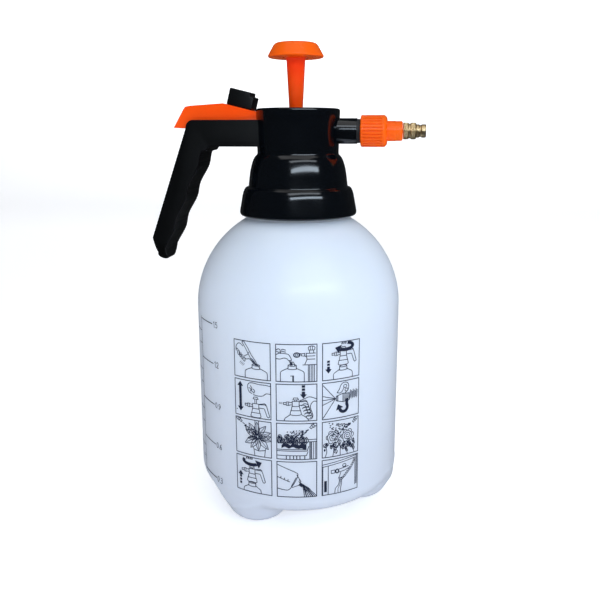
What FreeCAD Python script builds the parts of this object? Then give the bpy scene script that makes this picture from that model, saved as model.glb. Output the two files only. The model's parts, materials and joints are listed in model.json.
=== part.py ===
"""Hand-held pump-up pressure sprayer, about 2 litres, as a parametric document.

Frame: the origin is on the bottle's axis at the height of its feet, +Z is up, the nozzle points
along +X and the grip stands behind the head, towards -X. Millimetres.
"""
import FreeCAD, Part
import Sketcher
import math
import os

Vector = FreeCAD.Vector
Rotation = FreeCAD.Rotation
Placement = FreeCAD.Placement

DRIVING = {
    # bottle
    "bottle_radius": 65.0, "bottle_wall": 2.2, "base_height": 13.6, "base_round": 12.5,
    "shoulder_height": 130.0, "neck_radius": 31.0, "neck_bore": 27.0, "rim_height": 200.0,
    "base_radius": 64.2, "dome_height": 63.0, "foot_radius": 15.5, "foot_flare": 0.58,
    "foot_height": 26.0, "foot_pad_inner": 42.0, "foot_centre": 40.0, "foot_count": 3.0,
    "foot_turn": -0.5, "gasket_thick": 2.0,
    # clearances
    "gap": 0.3, "fit": 0.06,
    # head shell
    "collar_radius": 37.3, "collar_bottom": 186.4, "collar_height": 17.4, "collar_top_radius": 33.8,
    "bell_radius": 31.6, "bell_waist_radius": 27.6, "bell_top": 222.5, "head_radius": 25.6,
    "head_top_radius": 26.4, "head_top": 252.6, "head_wall": 2.4, "deck_height": 216.0,
    "deck_thick": 3.0, "rim_width": 2.6, "top_recess": 0.8,
    # handle
    "handle_width": 26.0, "arm_bottom": 229.2, "arm_top": 245.6,
    "arm_front": 20.0, "grip_back": 69.0, "grip_lean": 0.348, "front_lean": 0.4175,
    "front_step": 59.3, "front_height": 226.0, "front_foot": 163.8, "grip_wave": 1.8,
    "grip_bumps": 3.0, "grip_tip": 155.0,
    # trigger lever
    "lever_width": 19.0, "lever_thick": 2.6, "pivot_back": 20.8, "pivot_height": 247.4,
    "pin_radius": 1.5, "boss_radius": 3.0, "lever_crest": 46.0, "lever_top": 255.8,
    "lever_corner": 70.0, "lever_tip": 77.8,
    # lock button
    "button_length": 16.4, "button_height": 10.5, "button_width": 14.0, "button_tilt": 13.9,
    "button_back": 36.2, "button_base": 253.42,
    # valve
    "valve_back": 48.0, "stem_radius": 1.9, "stem_top": 247.0, "spring_radius": 2.7,
    "spring_wire": 0.3, "spring_turns": 4.0, "spring_foot": 233.0, "spring_length": 5.6,
    # outlet and nozzle
    "nozzle_height": 238.8, "pipe_radius": 7.9, "pipe_end": 37.2, "pipe_bore": 2.6,
    "spigot_radius": 6.4, "spigot_end": 47.0, "nut_radius": 9.8, "nut_start": 39.5, "nut_end": 55.8,
    "nut_ribs": 28.0, "rib_depth": 0.7, "hub_radius": 6.2, "hub_end": 65.2, "knurl_radius": 5.1,
    "knurl_end": 73.5, "tip_radius": 4.06, "tip_end": 79.4, "orifice_radius": 0.5,
    # pump
    "pump_offset": 1.2,
    "cylinder_radius": 13.0, "cylinder_bore": 11.4, "cylinder_foot": 112.0, "cylinder_top": 248.6,
    "flange_radius": 17.0, "flange_thick": 2.4, "rod_radius": 4.2, "rod_foot": 118.0,
    "piston_height": 9.0, "stub_radius": 2.0, "air_circle": 4.2, "stem_waist": 4.3,
    "stem_shoulder": 6.0, "knob_radius": 17.4, "knob_rim": 284.0, "knob_top": 292.3,
    "knob_flat": 12.4,
    # suction line
    "dip_offset": 18.4, "dip_radius": 3.4, "dip_bore": 2.2, "dip_foot": 19.0, "dip_top": 232.0, 
    "filter_radius": 6.0, "filter_height": 16.0, "ring_radius": 18.9, "ring_bottom": 231.4,
}


class Size:
    """A length with its value and the spreadsheet expression that it comes from."""

    def __init__(self, text, value):
        self.text = text
        self.value = float(value)

    def joined(self, sign, other, value):
        return Size("(" + self.text + " " + sign + " " + sized(other).text + ")", value)

    def __add__(self, other):
        return self.joined("+", other, self.value + sized(other).value)

    def __sub__(self, other):
        return self.joined("-", other, self.value - sized(other).value)

    def __mul__(self, other):
        return self.joined("*", other, self.value * sized(other).value)

    def __truediv__(self, other):
        return self.joined("/", other, self.value / sized(other).value)

    def __radd__(self, other):
        return sized(other) + self

    def __rsub__(self, other):
        return sized(other) - self

    def __rmul__(self, other):
        return sized(other) * self

    def __neg__(self):
        return Size("(0 - " + self.text + ")", -self.value)


def sized(number):
    """A plain number as a Size, so that both can stand in one sum."""
    return number if isinstance(number, Size) else Size(repr(round(float(number), 6)), number)


class Dims:
    """The driving dimensions, read by name."""


doc = FreeCAD.newDocument("pressure_sprayer")
sheet = doc.addObject("Spreadsheet::Sheet", "dims")
d = Dims()
for row, (alias, amount) in enumerate(DRIVING.items(), start=1):
    sheet.set("A" + str(row), alias.replace("_", " "))
    sheet.set("B" + str(row), str(amount))
    sheet.setAlias("B" + str(row), alias)
    setattr(d, alias, Size("dims." + alias, amount))
doc.recompute()

nodes = []          # the finished sub-parts, in the order they are built


def bind(item, **sizes):
    """Bind properties to the sheet: Radius=..., Placement_Base_z=... and so on."""
    for prop, amount in sizes.items():
        item.setExpression(prop.replace("_", "."), sized(amount).text)
    return item


def finish(item, label):
    """Name a finished sub-part after its node and keep it for the export."""
    item.Label = label
    nodes.append(item)
    return item


def turn_to_x(item):
    """Lay a piece built about Z along the nozzle's axis."""
    item.Placement = Placement(Vector(), Rotation(Vector(0, 1, 0), 90))
    return bind(item, Placement_Base_z=d.nozzle_height)


def cylinder(name, radius, foot, top, x=0, y=0):
    item = doc.addObject("Part::Cylinder", name)
    return bind(item, Radius=radius, Height=sized(top) - foot, Placement_Base_x=x,
                Placement_Base_y=y, Placement_Base_z=foot)


def cylinder_x(name, radius, start, end):
    """A cylinder along the nozzle's axis, from one x to another."""
    item = doc.addObject("Part::Cylinder", name)
    item.Placement = Placement(Vector(), Rotation(Vector(0, 1, 0), 90))
    return bind(item, Radius=radius, Height=sized(end) - start, Placement_Base_x=start,
                Placement_Base_z=d.nozzle_height)


def box(name, low, high):
    """A box between two corners, each a triple of sizes."""
    item = doc.addObject("Part::Box", name)
    return bind(item, Length=sized(high[0]) - low[0], Width=sized(high[1]) - low[1],
                Height=sized(high[2]) - low[2], Placement_Base_x=low[0],
                Placement_Base_y=low[1], Placement_Base_z=low[2])


def fused(name, *pieces):
    item = doc.addObject("Part::MultiFuse", name)
    item.Shapes = list(pieces)
    item.Refine = True
    return item


def cut(name, base, *tools):
    item = doc.addObject("Part::Cut", name)
    item.Base = base
    item.Tool = tools[0] if len(tools) == 1 else fused(name + "_tools", *tools)
    item.Refine = True
    return item


def common(name, first, second):
    item = doc.addObject("Part::Common", name)
    item.Base = first
    item.Tool = second
    return item


def outline_sketch(body, name, plane_role, points):
    """A closed outline of straight runs, each corner bound to the sheet."""
    plane = [p for p in body.Origin.OriginFeatures if p.Role == plane_role][0]
    sketch = body.newObject("Sketcher::SketchObject", name)
    sketch.AttachmentSupport = (plane, [""])
    sketch.MapMode = "FlatFace"
    corners = [Vector(sized(a).value, sized(b).value, 0) for a, b in points]
    for i, corner in enumerate(corners):
        sketch.addGeometry(Part.LineSegment(corner, corners[(i + 1) % len(corners)]), False)
    for i in range(len(corners)):
        sketch.addConstraint(Sketcher.Constraint("Coincident", i, 2, (i + 1) % len(corners), 1))
    for i, (a, b) in enumerate(points):
        for kind, axis, amount in (("DistanceX", -2, sized(a)), ("DistanceY", -1, sized(b))):
            if abs(amount.value) < 1e-9:
                sketch.addConstraint(Sketcher.Constraint("PointOnObject", i, 1, axis))
            else:
                number = sketch.addConstraint(Sketcher.Constraint(kind, -1, 1, i, 1, amount.value))
                sketch.setExpression("Constraints[" + str(number) + "]", amount.text)
    return sketch


def turned(name, points):
    """A body turned about Z from an outline of (radius, height) corners."""
    body = doc.addObject("PartDesign::Body", name)
    sketch = outline_sketch(body, name + "_outline", "XZ_Plane", points)
    turn = body.newObject("PartDesign::Revolution", name + "_turn")
    turn.Profile = sketch
    turn.ReferenceAxis = (sketch, ["V_Axis"])
    turn.Angle = 360
    sketch.Visibility = False
    doc.recompute()
    return body


def extruded(name, points, width):
    """A body padded both ways from the XZ plane, from an outline of (x, z) corners."""
    body = doc.addObject("PartDesign::Body", name)
    sketch = outline_sketch(body, name + "_outline", "XZ_Plane", points)
    pad = body.newObject("PartDesign::Pad", name + "_pad")
    pad.Profile = sketch
    pad.Midplane = True
    bind(pad, Length=width)
    doc.recompute()
    return body


def rounded(name, base, radius, wanted):
    """Round the edges of a piece that the test picks."""
    doc.recompute()
    item = doc.addObject("Part::Fillet", name)
    item.Base = base
    picked = [i for i, edge in enumerate(base.Shape.Edges, start=1) if wanted(edge)]
    item.Edges = [(i, sized(radius).value, sized(radius).value) for i in picked]
    return item


def ring_edge(radius, height):
    """A test for the circular edge about Z of that radius and height."""
    def wanted(edge):
        curve = edge.Curve
        return (curve.TypeId == "Part::GeomCircle" and abs(curve.Radius - sized(radius).value) < 0.01
                and abs(curve.Center.z - sized(height).value) < 0.01)
    return wanted


# ---- bottle -------------------------------------------------------------------------------------

def bottle_form(name, inset, floor):
    """The bottle's body as a solid, shrunk by an inset: a round-footed drum under a domed top."""
    radius = d.bottle_radius - inset
    drum = doc.addObject("Part::Cone", name + "_drum")
    bind(drum, Radius1=d.base_radius - inset, Radius2=radius, Height=d.shoulder_height - floor,
         Placement_Base_z=floor)
    soft_drum = rounded(name + "_soft_drum", drum, d.base_round - inset,
                        ring_edge(d.base_radius - inset, floor))
    dome = doc.addObject("Part::Ellipsoid", name + "_dome")
    bind(dome, Radius1=d.dome_height - inset, Radius2=radius, Radius3=radius,
         Placement_Base_z=d.shoulder_height)
    dome.Angle1 = 0
    return fused(name, soft_drum, dome)


def foot_form(name, inset, number):
    """One foot: a lobe that is round from below and widens upwards, kept inside a turned profile."""
    outer = d.base_radius + 0.2 - inset
    low = sized(inset)
    ring = turned(name + "_ring", [
        (d.foot_pad_inner + inset, low), (outer - 3, low), (outer, low + 8), (outer, d.foot_height),
        (d.foot_pad_inner - 10 + inset, d.foot_height)])
    angle = math.radians(d.foot_turn.value + number * 360 / d.foot_count.value)
    lobe = doc.addObject("Part::Cone", name + "_lobe")
    bind(lobe, Radius1=d.foot_radius - inset, Height=d.foot_height - low,
         Radius2=d.foot_radius - inset + (d.foot_height - low) * d.foot_flare,
         Placement_Base_x=d.foot_centre * math.cos(angle),
         Placement_Base_y=d.foot_centre * math.sin(angle), Placement_Base_z=low)
    return common(name, ring, lobe)


def build_bottle():
    """Blow-moulded bottle: body, three hollow feet and a plain neck under the head's collar."""
    count = int(d.foot_count.value)
    outside = [bottle_form("bottle_outside", sized(0), d.base_height)]
    outside += [foot_form("foot_" + str(i), sized(0), i) for i in range(count)]
    outside.append(cylinder("neck_outside", d.neck_radius, d.shoulder_height + 40, d.rim_height))
    inside = [bottle_form("bottle_inside", d.bottle_wall, d.base_height + d.bottle_wall)]
    inside += [foot_form("foot_hollow_" + str(i), d.bottle_wall, i) for i in range(count)]
    inside.append(cylinder("neck_inside", d.neck_bore, d.shoulder_height + 40, d.rim_height + 1))
    finish(cut("bottle", fused("bottle_solid", *outside), *inside), "bottle")


def build_gasket():
    """Flat rubber ring on the neck's rim, under the head's seat."""
    seal_top = d.rim_height + d.gasket_thick
    finish(turned("neck_gasket", [
        (d.neck_bore + d.gap, d.rim_height), (d.neck_radius - 0.2, d.rim_height),
        (d.neck_radius - 0.2, seal_top), (d.neck_bore + d.gap, seal_top)]), "neck_gasket")


# ---- head ---------------------------------------------------------------------------------------

def pivot_bore(name, radius, length):
    """A cylinder across the piece on the lever's pivot."""
    item = doc.addObject("Part::Cylinder", name)
    item.Placement = Placement(Vector(), Rotation(Vector(1, 0, 0), 90))
    return bind(item, Radius=radius, Height=length, Placement_Base_x=-d.pivot_back,
                Placement_Base_y=sized(length) / 2, Placement_Base_z=d.pivot_height)


def build_head():
    """Head shell: screw collar, bell and drum in one moulding, with holes for the pipe and lever."""
    seat = d.rim_height + d.gasket_thick
    collar_top = d.collar_bottom + d.collar_height
    bore = d.neck_radius + d.gap
    cavity = d.head_radius - d.head_wall
    hole = d.cylinder_bore - 2
    shell = turned("shell_turned", [
        (bore + 1.8, d.collar_bottom), (d.collar_radius - 1.2, d.collar_bottom),
        (d.collar_radius, d.collar_bottom + 1.6), (d.collar_radius - 1.7, d.collar_bottom + 10.4),
        (d.collar_top_radius, collar_top - 0.6), (d.collar_top_radius - 0.6, collar_top),
        (d.bell_radius, collar_top + 0.6), (d.bell_radius - 1.9, d.bell_top - 8),
        (d.bell_waist_radius + 1.0, d.bell_top - 1.5), (d.bell_waist_radius - 0.6, d.bell_top + 0.8),
        (d.head_radius, d.bell_top + 2), (d.head_top_radius, d.head_top - 1.2),
        (d.head_top_radius - 1.2, d.head_top), (d.head_top_radius - d.rim_width, d.head_top),
        (d.head_top_radius - d.rim_width - 0.4, d.head_top - d.top_recess),
        (hole, d.head_top - d.top_recess), (hole, d.cylinder_top + 0.4), (cavity, d.cylinder_top + 0.4),
        (cavity, d.deck_height + d.deck_thick), (hole, d.deck_height + d.deck_thick),
        (hole, d.deck_height), (d.neck_bore - 0.5, d.deck_height),
        (d.neck_bore - 0.5, seat), (bore, seat), (bore, d.collar_bottom + 3.6)])
    pipe_hole = cylinder_x("pipe_hole", d.pipe_radius + d.gap, 15, d.head_top_radius + 3)
    half = d.handle_width / 2 + 0.02
    back_door = box("back_door", (-d.head_top_radius - 2, -half, d.arm_bottom - 0.02),
                    (-cavity + 3.5, half, d.arm_top + 0.02))
    half_lever = d.lever_width / 2 + 0.5
    lever_slot = box("lever_slot", (-d.head_top_radius - 2, -half_lever, d.arm_top - 4.4),
                     (-cavity + 6, half_lever, d.head_top - 1.7))
    pin_hole = pivot_bore("shell_pin_hole", d.pin_radius, d.head_radius)
    cap_hole = cylinder("cap_hole", d.cylinder_bore + d.gap, d.cylinder_top - 1, d.head_top + 1,
                        x=-d.pump_offset)
    deck_hole = cylinder("deck_hole", d.cylinder_radius + d.gap, d.deck_height - 1,
                         d.deck_height + d.deck_thick + 1, x=-d.pump_offset)
    dip_hole = cylinder("dip_hole", d.dip_radius + d.gap, d.deck_height - 1,
                        d.deck_height + d.deck_thick + 1, x=-d.dip_offset)
    finish(cut("head_shell", shell, pipe_hole, back_door, lever_slot, dip_hole, pin_hole,
               cap_hole, deck_hole), "head_shell")


def grip_outline():
    """The handle's side outline: arm, leaning back, rounded end and a rippled finger side."""
    arm_top, arm_foot = d.arm_top.value, d.arm_bottom.value
    back, tip = d.grip_back.value, d.grip_tip.value
    elbow_height = arm_top - 5

    def back_at(z):
        return -back - (elbow_height - z) * d.grip_lean.value

    def front_at(z):
        return -d.front_step.value - (d.front_height.value - z) * d.front_lean.value

    def point(x, z):
        return Vector(x, 0, z)

    heel = tip + 16
    toe = d.front_foot.value
    ripple = []
    steps = int(d.grip_bumps.value) * 6
    for i in range(steps + 1):
        share = i / steps
        z = toe + (d.front_height.value - toe) * share
        lift = d.grip_wave.value * math.sin(math.pi * d.grip_bumps.value * share) ** 2
        ripple.append(point(front_at(z) + lift, z + lift * d.front_lean.value))
    wave = Part.BSplineCurve()
    wave.interpolate(ripple)
    palm_top = point(front_at(arm_foot) + 2.0, arm_foot - 2.4)
    palm_elbow = point(palm_top.x + 3.6, arm_foot)
    front = -d.arm_front.value
    low_back = point(back_at(heel), heel)
    chin = point(low_back.x + 2.6, tip + 6)
    toe_foot = point(chin.x + 5.2, tip + 1.8)
    return Part.Wire([
        Part.LineSegment(point(front, arm_top), point(-back + 4.6, arm_top)).toShape(),
        Part.Arc(point(-back + 4.6, arm_top), point(-back + 1.4, arm_top - 1.4),
                 point(-back, elbow_height)).toShape(),
        Part.LineSegment(point(-back, elbow_height), low_back).toShape(),
        Part.LineSegment(low_back, chin).toShape(),
        Part.Arc(chin, point(chin.x + 2.0, tip + 1), toe_foot).toShape(),
        Part.LineSegment(toe_foot, ripple[0]).toShape(),
        wave.toShape(),
        Part.LineSegment(ripple[-1], palm_top).toShape(),
        Part.Arc(palm_top, point(palm_top.x + 1.1, arm_foot - 0.7), palm_elbow).toShape(),
        Part.LineSegment(palm_elbow, point(front, arm_foot)).toShape(),
        Part.LineSegment(point(front, arm_foot), point(front, arm_top)).toShape()])


def grip_tongue():
    """The handle's outline from behind: straight sides and a round end."""
    half = d.handle_width / 2
    turn_height = d.grip_tip + half
    length = d.grip_back + 30
    sides = box("tongue_sides", (-length, -half, turn_height), (0, half, d.arm_top + 1))
    end = doc.addObject("Part::Cylinder", "tongue_end")
    end.Placement = Placement(Vector(), Rotation(Vector(0, 1, 0), 90))
    bind(end, Radius=half, Height=length, Placement_Base_x=-length, Placement_Base_z=turn_height)
    return fused("grip_tongue", sides, end)


def build_handle():
    """Handle moulding: arm channel, open on top for the lever, and the grip, cored from the channel."""
    half = d.handle_width.value / 2
    face = Part.Face(grip_outline())
    face.translate(Vector(0, -half, 0))
    moulding = doc.addObject("Part::Feature", "handle_moulding")
    moulding.Shape = face.extrude(Vector(0, 2 * half, 0))
    way = d.lever_width / 2 + 0.4
    channel = box("handle_channel", (-d.valve_back - 7, -way, d.arm_bottom + 2.4),
                  (-d.arm_front + 1, way, d.arm_top + 1))
    lever_way = box("lever_way", (-d.grip_back - 12, -way, d.arm_top - 9.8),
                    (-d.valve_back, way, d.arm_top + 1))
    tail_way = box("tail_way", (-d.grip_back - 12, -way, d.arm_top - 14.6),
                   (-d.grip_back + 0.8, way, d.arm_top + 1))
    core = box("grip_core", (0, -8, 0), (5.6, 8, 50))
    lean_angle = math.degrees(math.atan(d.grip_lean.value))
    core.Placement = Placement(core.Placement.Base, Rotation(Vector(0, 1, 0), lean_angle))
    bind(core, Placement_Base_x=-d.grip_back - 15.6, Placement_Base_z=d.grip_tip + 24)
    socket_way = cylinder("socket_way", d.dip_radius + 2.2, d.ring_bottom - 7, d.arm_bottom + 3,
                          x=-d.dip_offset)
    ring_way = cylinder("ring_way", d.ring_radius + d.gap, d.arm_bottom - 1, d.arm_top + 1)
    cored = cut("handle_cored", moulding, channel, lever_way, tail_way, core, socket_way, ring_way)
    finish(common("handle", cored, grip_tongue()), "handle")


# ---- trigger ------------------------------------------------------------------------------------

def build_trigger():
    """Trigger lever: a thin-walled channel, closed on top, with a hooked tail and a forked pivot."""
    top = d.lever_top
    foot = d.arm_top - 3.4
    throat = -d.head_top_radius + 2.2
    outside = extruded("lever_outside", [
        (-d.lever_tip, foot - 1.4), (-d.lever_corner - 1.2, top - 3.6), (-d.lever_corner, top - 2.0),
        (-d.lever_corner + 3, top - 1.4), (-d.lever_crest, top), (throat, top - 5.4),
        (-d.pivot_back, top - 5.6), (-d.pivot_back, foot + 3.2), (-d.pivot_back - 4, foot + 2.2),
        (-d.valve_back + 4, foot), (-d.grip_back + 3.6, foot), (-d.grip_back + 0.6, foot - 1.4),
        (-d.grip_back - 3.0, foot - 1.8)], d.lever_width)
    boss = pivot_bore("lever_boss", d.boss_radius, d.lever_width)
    inside = extruded("lever_inside", [
        (-d.grip_back - 2.4, foot - 4), (-d.grip_back + 1.8, top - 4.2), (-d.lever_crest, top - 2.6),
        (throat - 3.4, top - 6.8), (throat - 3.4, top + 1), (-d.pivot_back + 5, top + 1),
        (-d.pivot_back + 5, foot - 4)], d.lever_width - d.lever_thick * 2)
    bore = pivot_bore("lever_bore", d.pin_radius + d.fit, d.lever_width + 2)
    slot = box("button_slot", (-d.lever_crest + 1.4, -3.3, top - 8), (-d.button_back + 3.8, 3.3, top + 1))
    presser = box("stem_presser", (-d.valve_back - 2, -2.5, d.stem_top + 0.35),
                  (-d.valve_back + 2, 2.5, top - 1.6))
    hollow = cut("lever_channel", fused("lever_solid", outside, boss), inside, bore, slot)
    finish(fused("trigger_lever", hollow, presser), "trigger_lever")
    finish(pivot_bore("trigger_pin", d.pin_radius, d.lever_width + 5), "trigger_pin")


def build_button():
    """Lock button: a ribbed block that slides on the lever's slope, held by a tongue below."""
    half = d.button_width / 2
    front = d.button_length / 2
    block = box("button_block", (-front, -half, 0), (front, half, d.button_height))
    ledge = box("button_ledge", (front - 2.6, -half - 1, d.button_height - 2.4),
                (front + 1, half + 1, d.button_height + 1))
    stepped = cut("button_stepped", block, ledge)
    neck = box("button_neck", (-2.5, -3, -3.2), (3.5, 3, 1))
    tongue = box("button_tongue", (-2.5, -5, -4.6), (3.5, 5, -3.0))
    button = fused("lock_button", stepped, neck, tongue)
    button.Placement = Placement(Vector(), Rotation(Vector(0, 1, 0), d.button_tilt.value))
    bind(button, Placement_Base_x=-d.button_back, Placement_Base_z=d.button_base)
    finish(button, "lock_button")


# ---- valve and liquid way -----------------------------------------------------------------------

def build_valve_body():
    """Valve body: a ring round the pump with a liquid gallery, the outlet pipe and the valve block."""
    ring_top = d.cylinder_top - d.flange_thick
    ring = cylinder("ring_outside", d.ring_radius, d.ring_bottom, ring_top)
    pipe = cylinder_x("outlet_pipe", d.pipe_radius, d.ring_radius - 1.4, d.pipe_end)
    spigot = cylinder_x("outlet_spigot", d.spigot_radius, d.pipe_end - 7, d.spigot_end)
    block = box("valve_block", (-d.valve_back - 5, -6.5, d.ring_bottom + 0.5),
                (-d.dip_offset + 3.4, 6.5, d.arm_top - 4.4))
    socket = cylinder("dip_socket", d.dip_radius + 1.0, d.ring_bottom - 6, d.ring_bottom + 2,
                      x=-d.dip_offset)
    low = d.ring_bottom - 8
    solid = fused("valve_body_solid", ring, pipe, spigot, block, socket)
    middle = cylinder("ring_bore", d.cylinder_radius + d.gap, low, ring_top + 1, x=-d.pump_offset)
    gallery = cut("gallery",
                  cylinder("gallery_outside", d.cylinder_radius + 3.6, d.nozzle_height - 1.8,
                           d.nozzle_height + 1.8, x=-d.pump_offset),
                  cylinder("gallery_inside", d.cylinder_radius + 2.0, d.nozzle_height - 3,
                           d.nozzle_height + 3, x=-d.pump_offset))
    outlet = cylinder_x("outlet_bore", d.pipe_bore, d.cylinder_radius + 1.8, d.spigot_end + 1)
    feed = cylinder("dip_way", d.dip_bore, low, d.dip_top + 2.4, x=-d.dip_offset)
    seat = cylinder("dip_seat", d.dip_radius, low, d.dip_top, x=-d.dip_offset)
    well = cylinder("valve_well", d.spring_radius + d.spring_wire + 0.2, d.spring_foot, d.arm_top,
                    x=-d.valve_back)
    low_way = doc.addObject("Part::Cylinder", "low_way")
    low_way.Placement = Placement(Vector(), Rotation(Vector(0, 1, 0), 90))
    bind(low_way, Radius=0.9, Height=d.valve_back - d.dip_offset, Placement_Base_x=-d.valve_back,
         Placement_Base_z=d.spring_foot + 1)
    finish(cut("valve_body", solid, middle, gallery, outlet, feed, seat, well, low_way), "valve_body")


def build_valve():
    """Valve stem with its seal, and the gland that guides it."""
    collar_foot = d.spring_foot + d.spring_length
    reach = d.spring_radius + d.spring_wire
    back = -d.valve_back
    finish(fused("valve_stem_solid",
                 cylinder("stem_shank", d.stem_radius, collar_foot, d.stem_top, x=back),
                 cylinder("stem_disc", reach - 0.2, collar_foot, collar_foot + 0.8, x=back)),
           "valve_stem")
    seal_foot = collar_foot + 0.8
    finish(cut("valve_seal_ring",
               cylinder("valve_seal_outside", reach - 0.2, seal_foot, seal_foot + 0.6, x=back),
               cylinder("valve_seal_inside", d.stem_radius, seal_foot - 1, seal_foot + 2, x=back)),
           "valve_seal")
    gland_top = d.arm_top - 3.0
    gland = fused("valve_gland_solid",
                  cylinder("gland_plug", reach + 0.1, gland_top - 2.4, gland_top, x=back),
                  cylinder("gland_flange", reach + 1.6, gland_top - 1.4, gland_top, x=back))
    bore = cylinder("gland_bore", d.stem_radius + d.fit, gland_top - 4, gland_top + 3, x=back)
    finish(cut("valve_gland_ring", gland, bore), "valve_gland")


def build_spring():
    """Valve spring: a wire of eight flats wound round the well."""
    wire, radius = d.spring_wire.value, d.spring_radius.value
    height = d.spring_length.value - wire * 2
    helix = Part.makeHelix(height / d.spring_turns.value, height, radius)
    turns = [math.radians(45 * i) for i in range(9)]
    corners = [Vector(radius + wire * math.cos(turn), 0, wire * math.sin(turn)) for turn in turns]
    sweep = Part.Wire(helix.Edges).makePipeShell([Part.makePolygon(corners)], True, True)
    spring = doc.addObject("Part::Feature", "valve_spring")
    spring.Shape = Part.Solid(sweep) if sweep.ShapeType == "Shell" else sweep
    spring.Placement = Placement(Vector(-d.valve_back.value, 0, d.spring_foot.value + wire), Rotation())
    finish(spring, "valve_spring")


def build_suction():
    """Dip tube from the valve body to the bottle's floor, with a slotted filter on its foot."""
    back = -d.dip_offset
    finish(cut("dip_tube", cylinder("dip_outside", d.dip_radius, d.dip_foot, d.dip_top, x=back),
               cylinder("dip_inside", d.dip_bore, d.dip_foot - 1, d.dip_top + 1, x=back)), "dip_tube")
    top = d.dip_foot + d.filter_height
    cup = cut("filter_cup", cylinder("filter_outside", d.filter_radius, d.dip_foot - 2, top, x=back),
              cylinder("filter_inside", d.filter_radius - 1.2, d.dip_foot, top - 3, x=back),
              cylinder("filter_bore", d.dip_radius, d.dip_foot, top + 1, x=back))
    slots = [box("filter_slot_" + str(i), (back - 8, -8, d.dip_foot + 1.6 + i * 3),
                 (back + 8, -4.0, d.dip_foot + 3.0 + i * 3)) for i in range(3)]
    finish(cut("dip_filter", cup, *slots), "dip_filter")


# ---- nozzle train -------------------------------------------------------------------------------

def nozzle_piece(name, points):
    """A piece turned about the nozzle's axis, from corners given as (radius, x)."""
    return finish(turn_to_x(turned(name, points)), name)


def build_washer():
    nozzle_piece("outlet_washer", [
        (d.spigot_radius + 0.05, d.pipe_end), (d.pipe_radius - 0.5, d.pipe_end),
        (d.pipe_radius - 0.5, d.nut_start - 0.3), (d.spigot_radius + 0.05, d.nut_start - 0.3)])


def build_nut():
    """Union nut: a ribbed ring that holds the nozzle body on the outlet."""
    count = int(d.nut_ribs.value)
    root = d.nut_radius - d.rib_depth
    lip = d.nut_end - 3.2
    blank = turned("nut_blank", [
        (d.spigot_radius + d.gap, d.nut_start), (d.nut_radius - 0.6, d.nut_start),
        (d.nut_radius, d.nut_start + 0.6), (d.nut_radius, d.nut_end - 2.2),
        (d.nut_radius - 1.6, d.nut_end),
        (d.hub_radius + d.gap, d.nut_end), (d.hub_radius + d.gap, lip), (d.nut_radius - 2, lip),
        (d.nut_radius - 2, d.spigot_end), (d.spigot_radius + d.gap, d.spigot_end)])
    groove = doc.addObject("Part::Box", "nut_groove")
    bind(groove, Length=d.rib_depth + 1, Width=1.0, Height=d.nut_end - d.nut_start - 3.4,
         Placement_Base_x=root, Placement_Base_y=sized(-0.5), Placement_Base_z=d.nut_start + 1.2)
    doc.recompute()
    tools = []
    for i in range(count):
        copy = doc.addObject("Part::Feature", "nut_groove_" + str(i))
        copy.Shape = groove.Shape.rotated(Vector(), Vector(0, 0, 1), 360 * i / count)
        tools.append(copy)
    finish(turn_to_x(cut("nozzle_nut", blank, *tools)), "nozzle_nut")


def build_nozzle():
    """Nozzle body held by the nut, its seal, the swirl core and the turning brass nozzle and tip."""
    start = d.spigot_end + 1.2
    thread = d.knurl_radius - 1.5
    thread_foot = d.hub_end - 6
    nozzle_piece("nozzle_body", [
        (d.pipe_bore, start), (d.nut_radius - 2.4, start), (d.nut_radius - 2.4, d.nut_end - 3.5),
        (d.hub_radius, d.nut_end - 3.5), (d.hub_radius, d.hub_end - 0.8), (d.hub_radius - 0.8, d.hub_end),
        (thread + d.fit, d.hub_end), (thread + d.fit, thread_foot - 1), (d.pipe_bore, thread_foot - 1)])
    nozzle_piece("nozzle_seal", [
        (d.pipe_bore, d.spigot_end + 0.1), (d.spigot_radius - 0.4, d.spigot_end + 0.1),
        (d.spigot_radius - 0.4, start), (d.pipe_bore, start)])
    nozzle_piece("brass_nozzle", [
        (2.2, thread_foot), (thread, thread_foot), (thread, d.hub_end + 0.1),
        (d.knurl_radius, d.hub_end + 0.1),
        (d.knurl_radius, d.hub_end + 3.4), (d.knurl_radius - 0.6, d.hub_end + 3.7),
        (d.knurl_radius - 0.6, d.hub_end + 4.5), (d.knurl_radius, d.hub_end + 4.8),
        (d.knurl_radius, d.knurl_end - 0.5), (d.knurl_radius - 0.5, d.knurl_end), (2.2, d.knurl_end)])
    nozzle_piece("brass_tip", [
        (2.2, d.knurl_end), (d.tip_radius, d.knurl_end), (d.tip_radius, d.knurl_end + 1.6),
        (d.tip_radius - 0.5, d.knurl_end + 2), (d.tip_radius - 0.5, d.knurl_end + 2.8),
        (d.tip_radius, d.knurl_end + 3.2), (d.tip_radius, d.tip_end - 0.4), (d.tip_radius - 0.4, d.tip_end),
        (d.orifice_radius + 1.4, d.tip_end), (d.orifice_radius, d.tip_end - 1.0),
        (d.orifice_radius, d.tip_end - 2.0), (2.2, d.tip_end - 2.0)])
    core = turned("core_blank", [
        (0, d.hub_end), (1.9, d.hub_end), (1.9, d.tip_end - 3), (0, d.tip_end - 2.6)])
    flats = [box("core_flat_" + side, (low, -3, d.hub_end - 1), (high, 3, d.tip_end - 4))
             for side, low, high in (("a", 1.4, 3), ("b", -3, -1.4))]
    finish(turn_to_x(cut("swirl_core", core, *flats)), "swirl_core")


# ---- pump ---------------------------------------------------------------------------------------

def pump_piece(name, points):
    """A piece turned about the pump's axis, which stands a little behind the bottle's."""
    return bind(turned(name, points), Placement_Base_x=-d.pump_offset)


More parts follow.
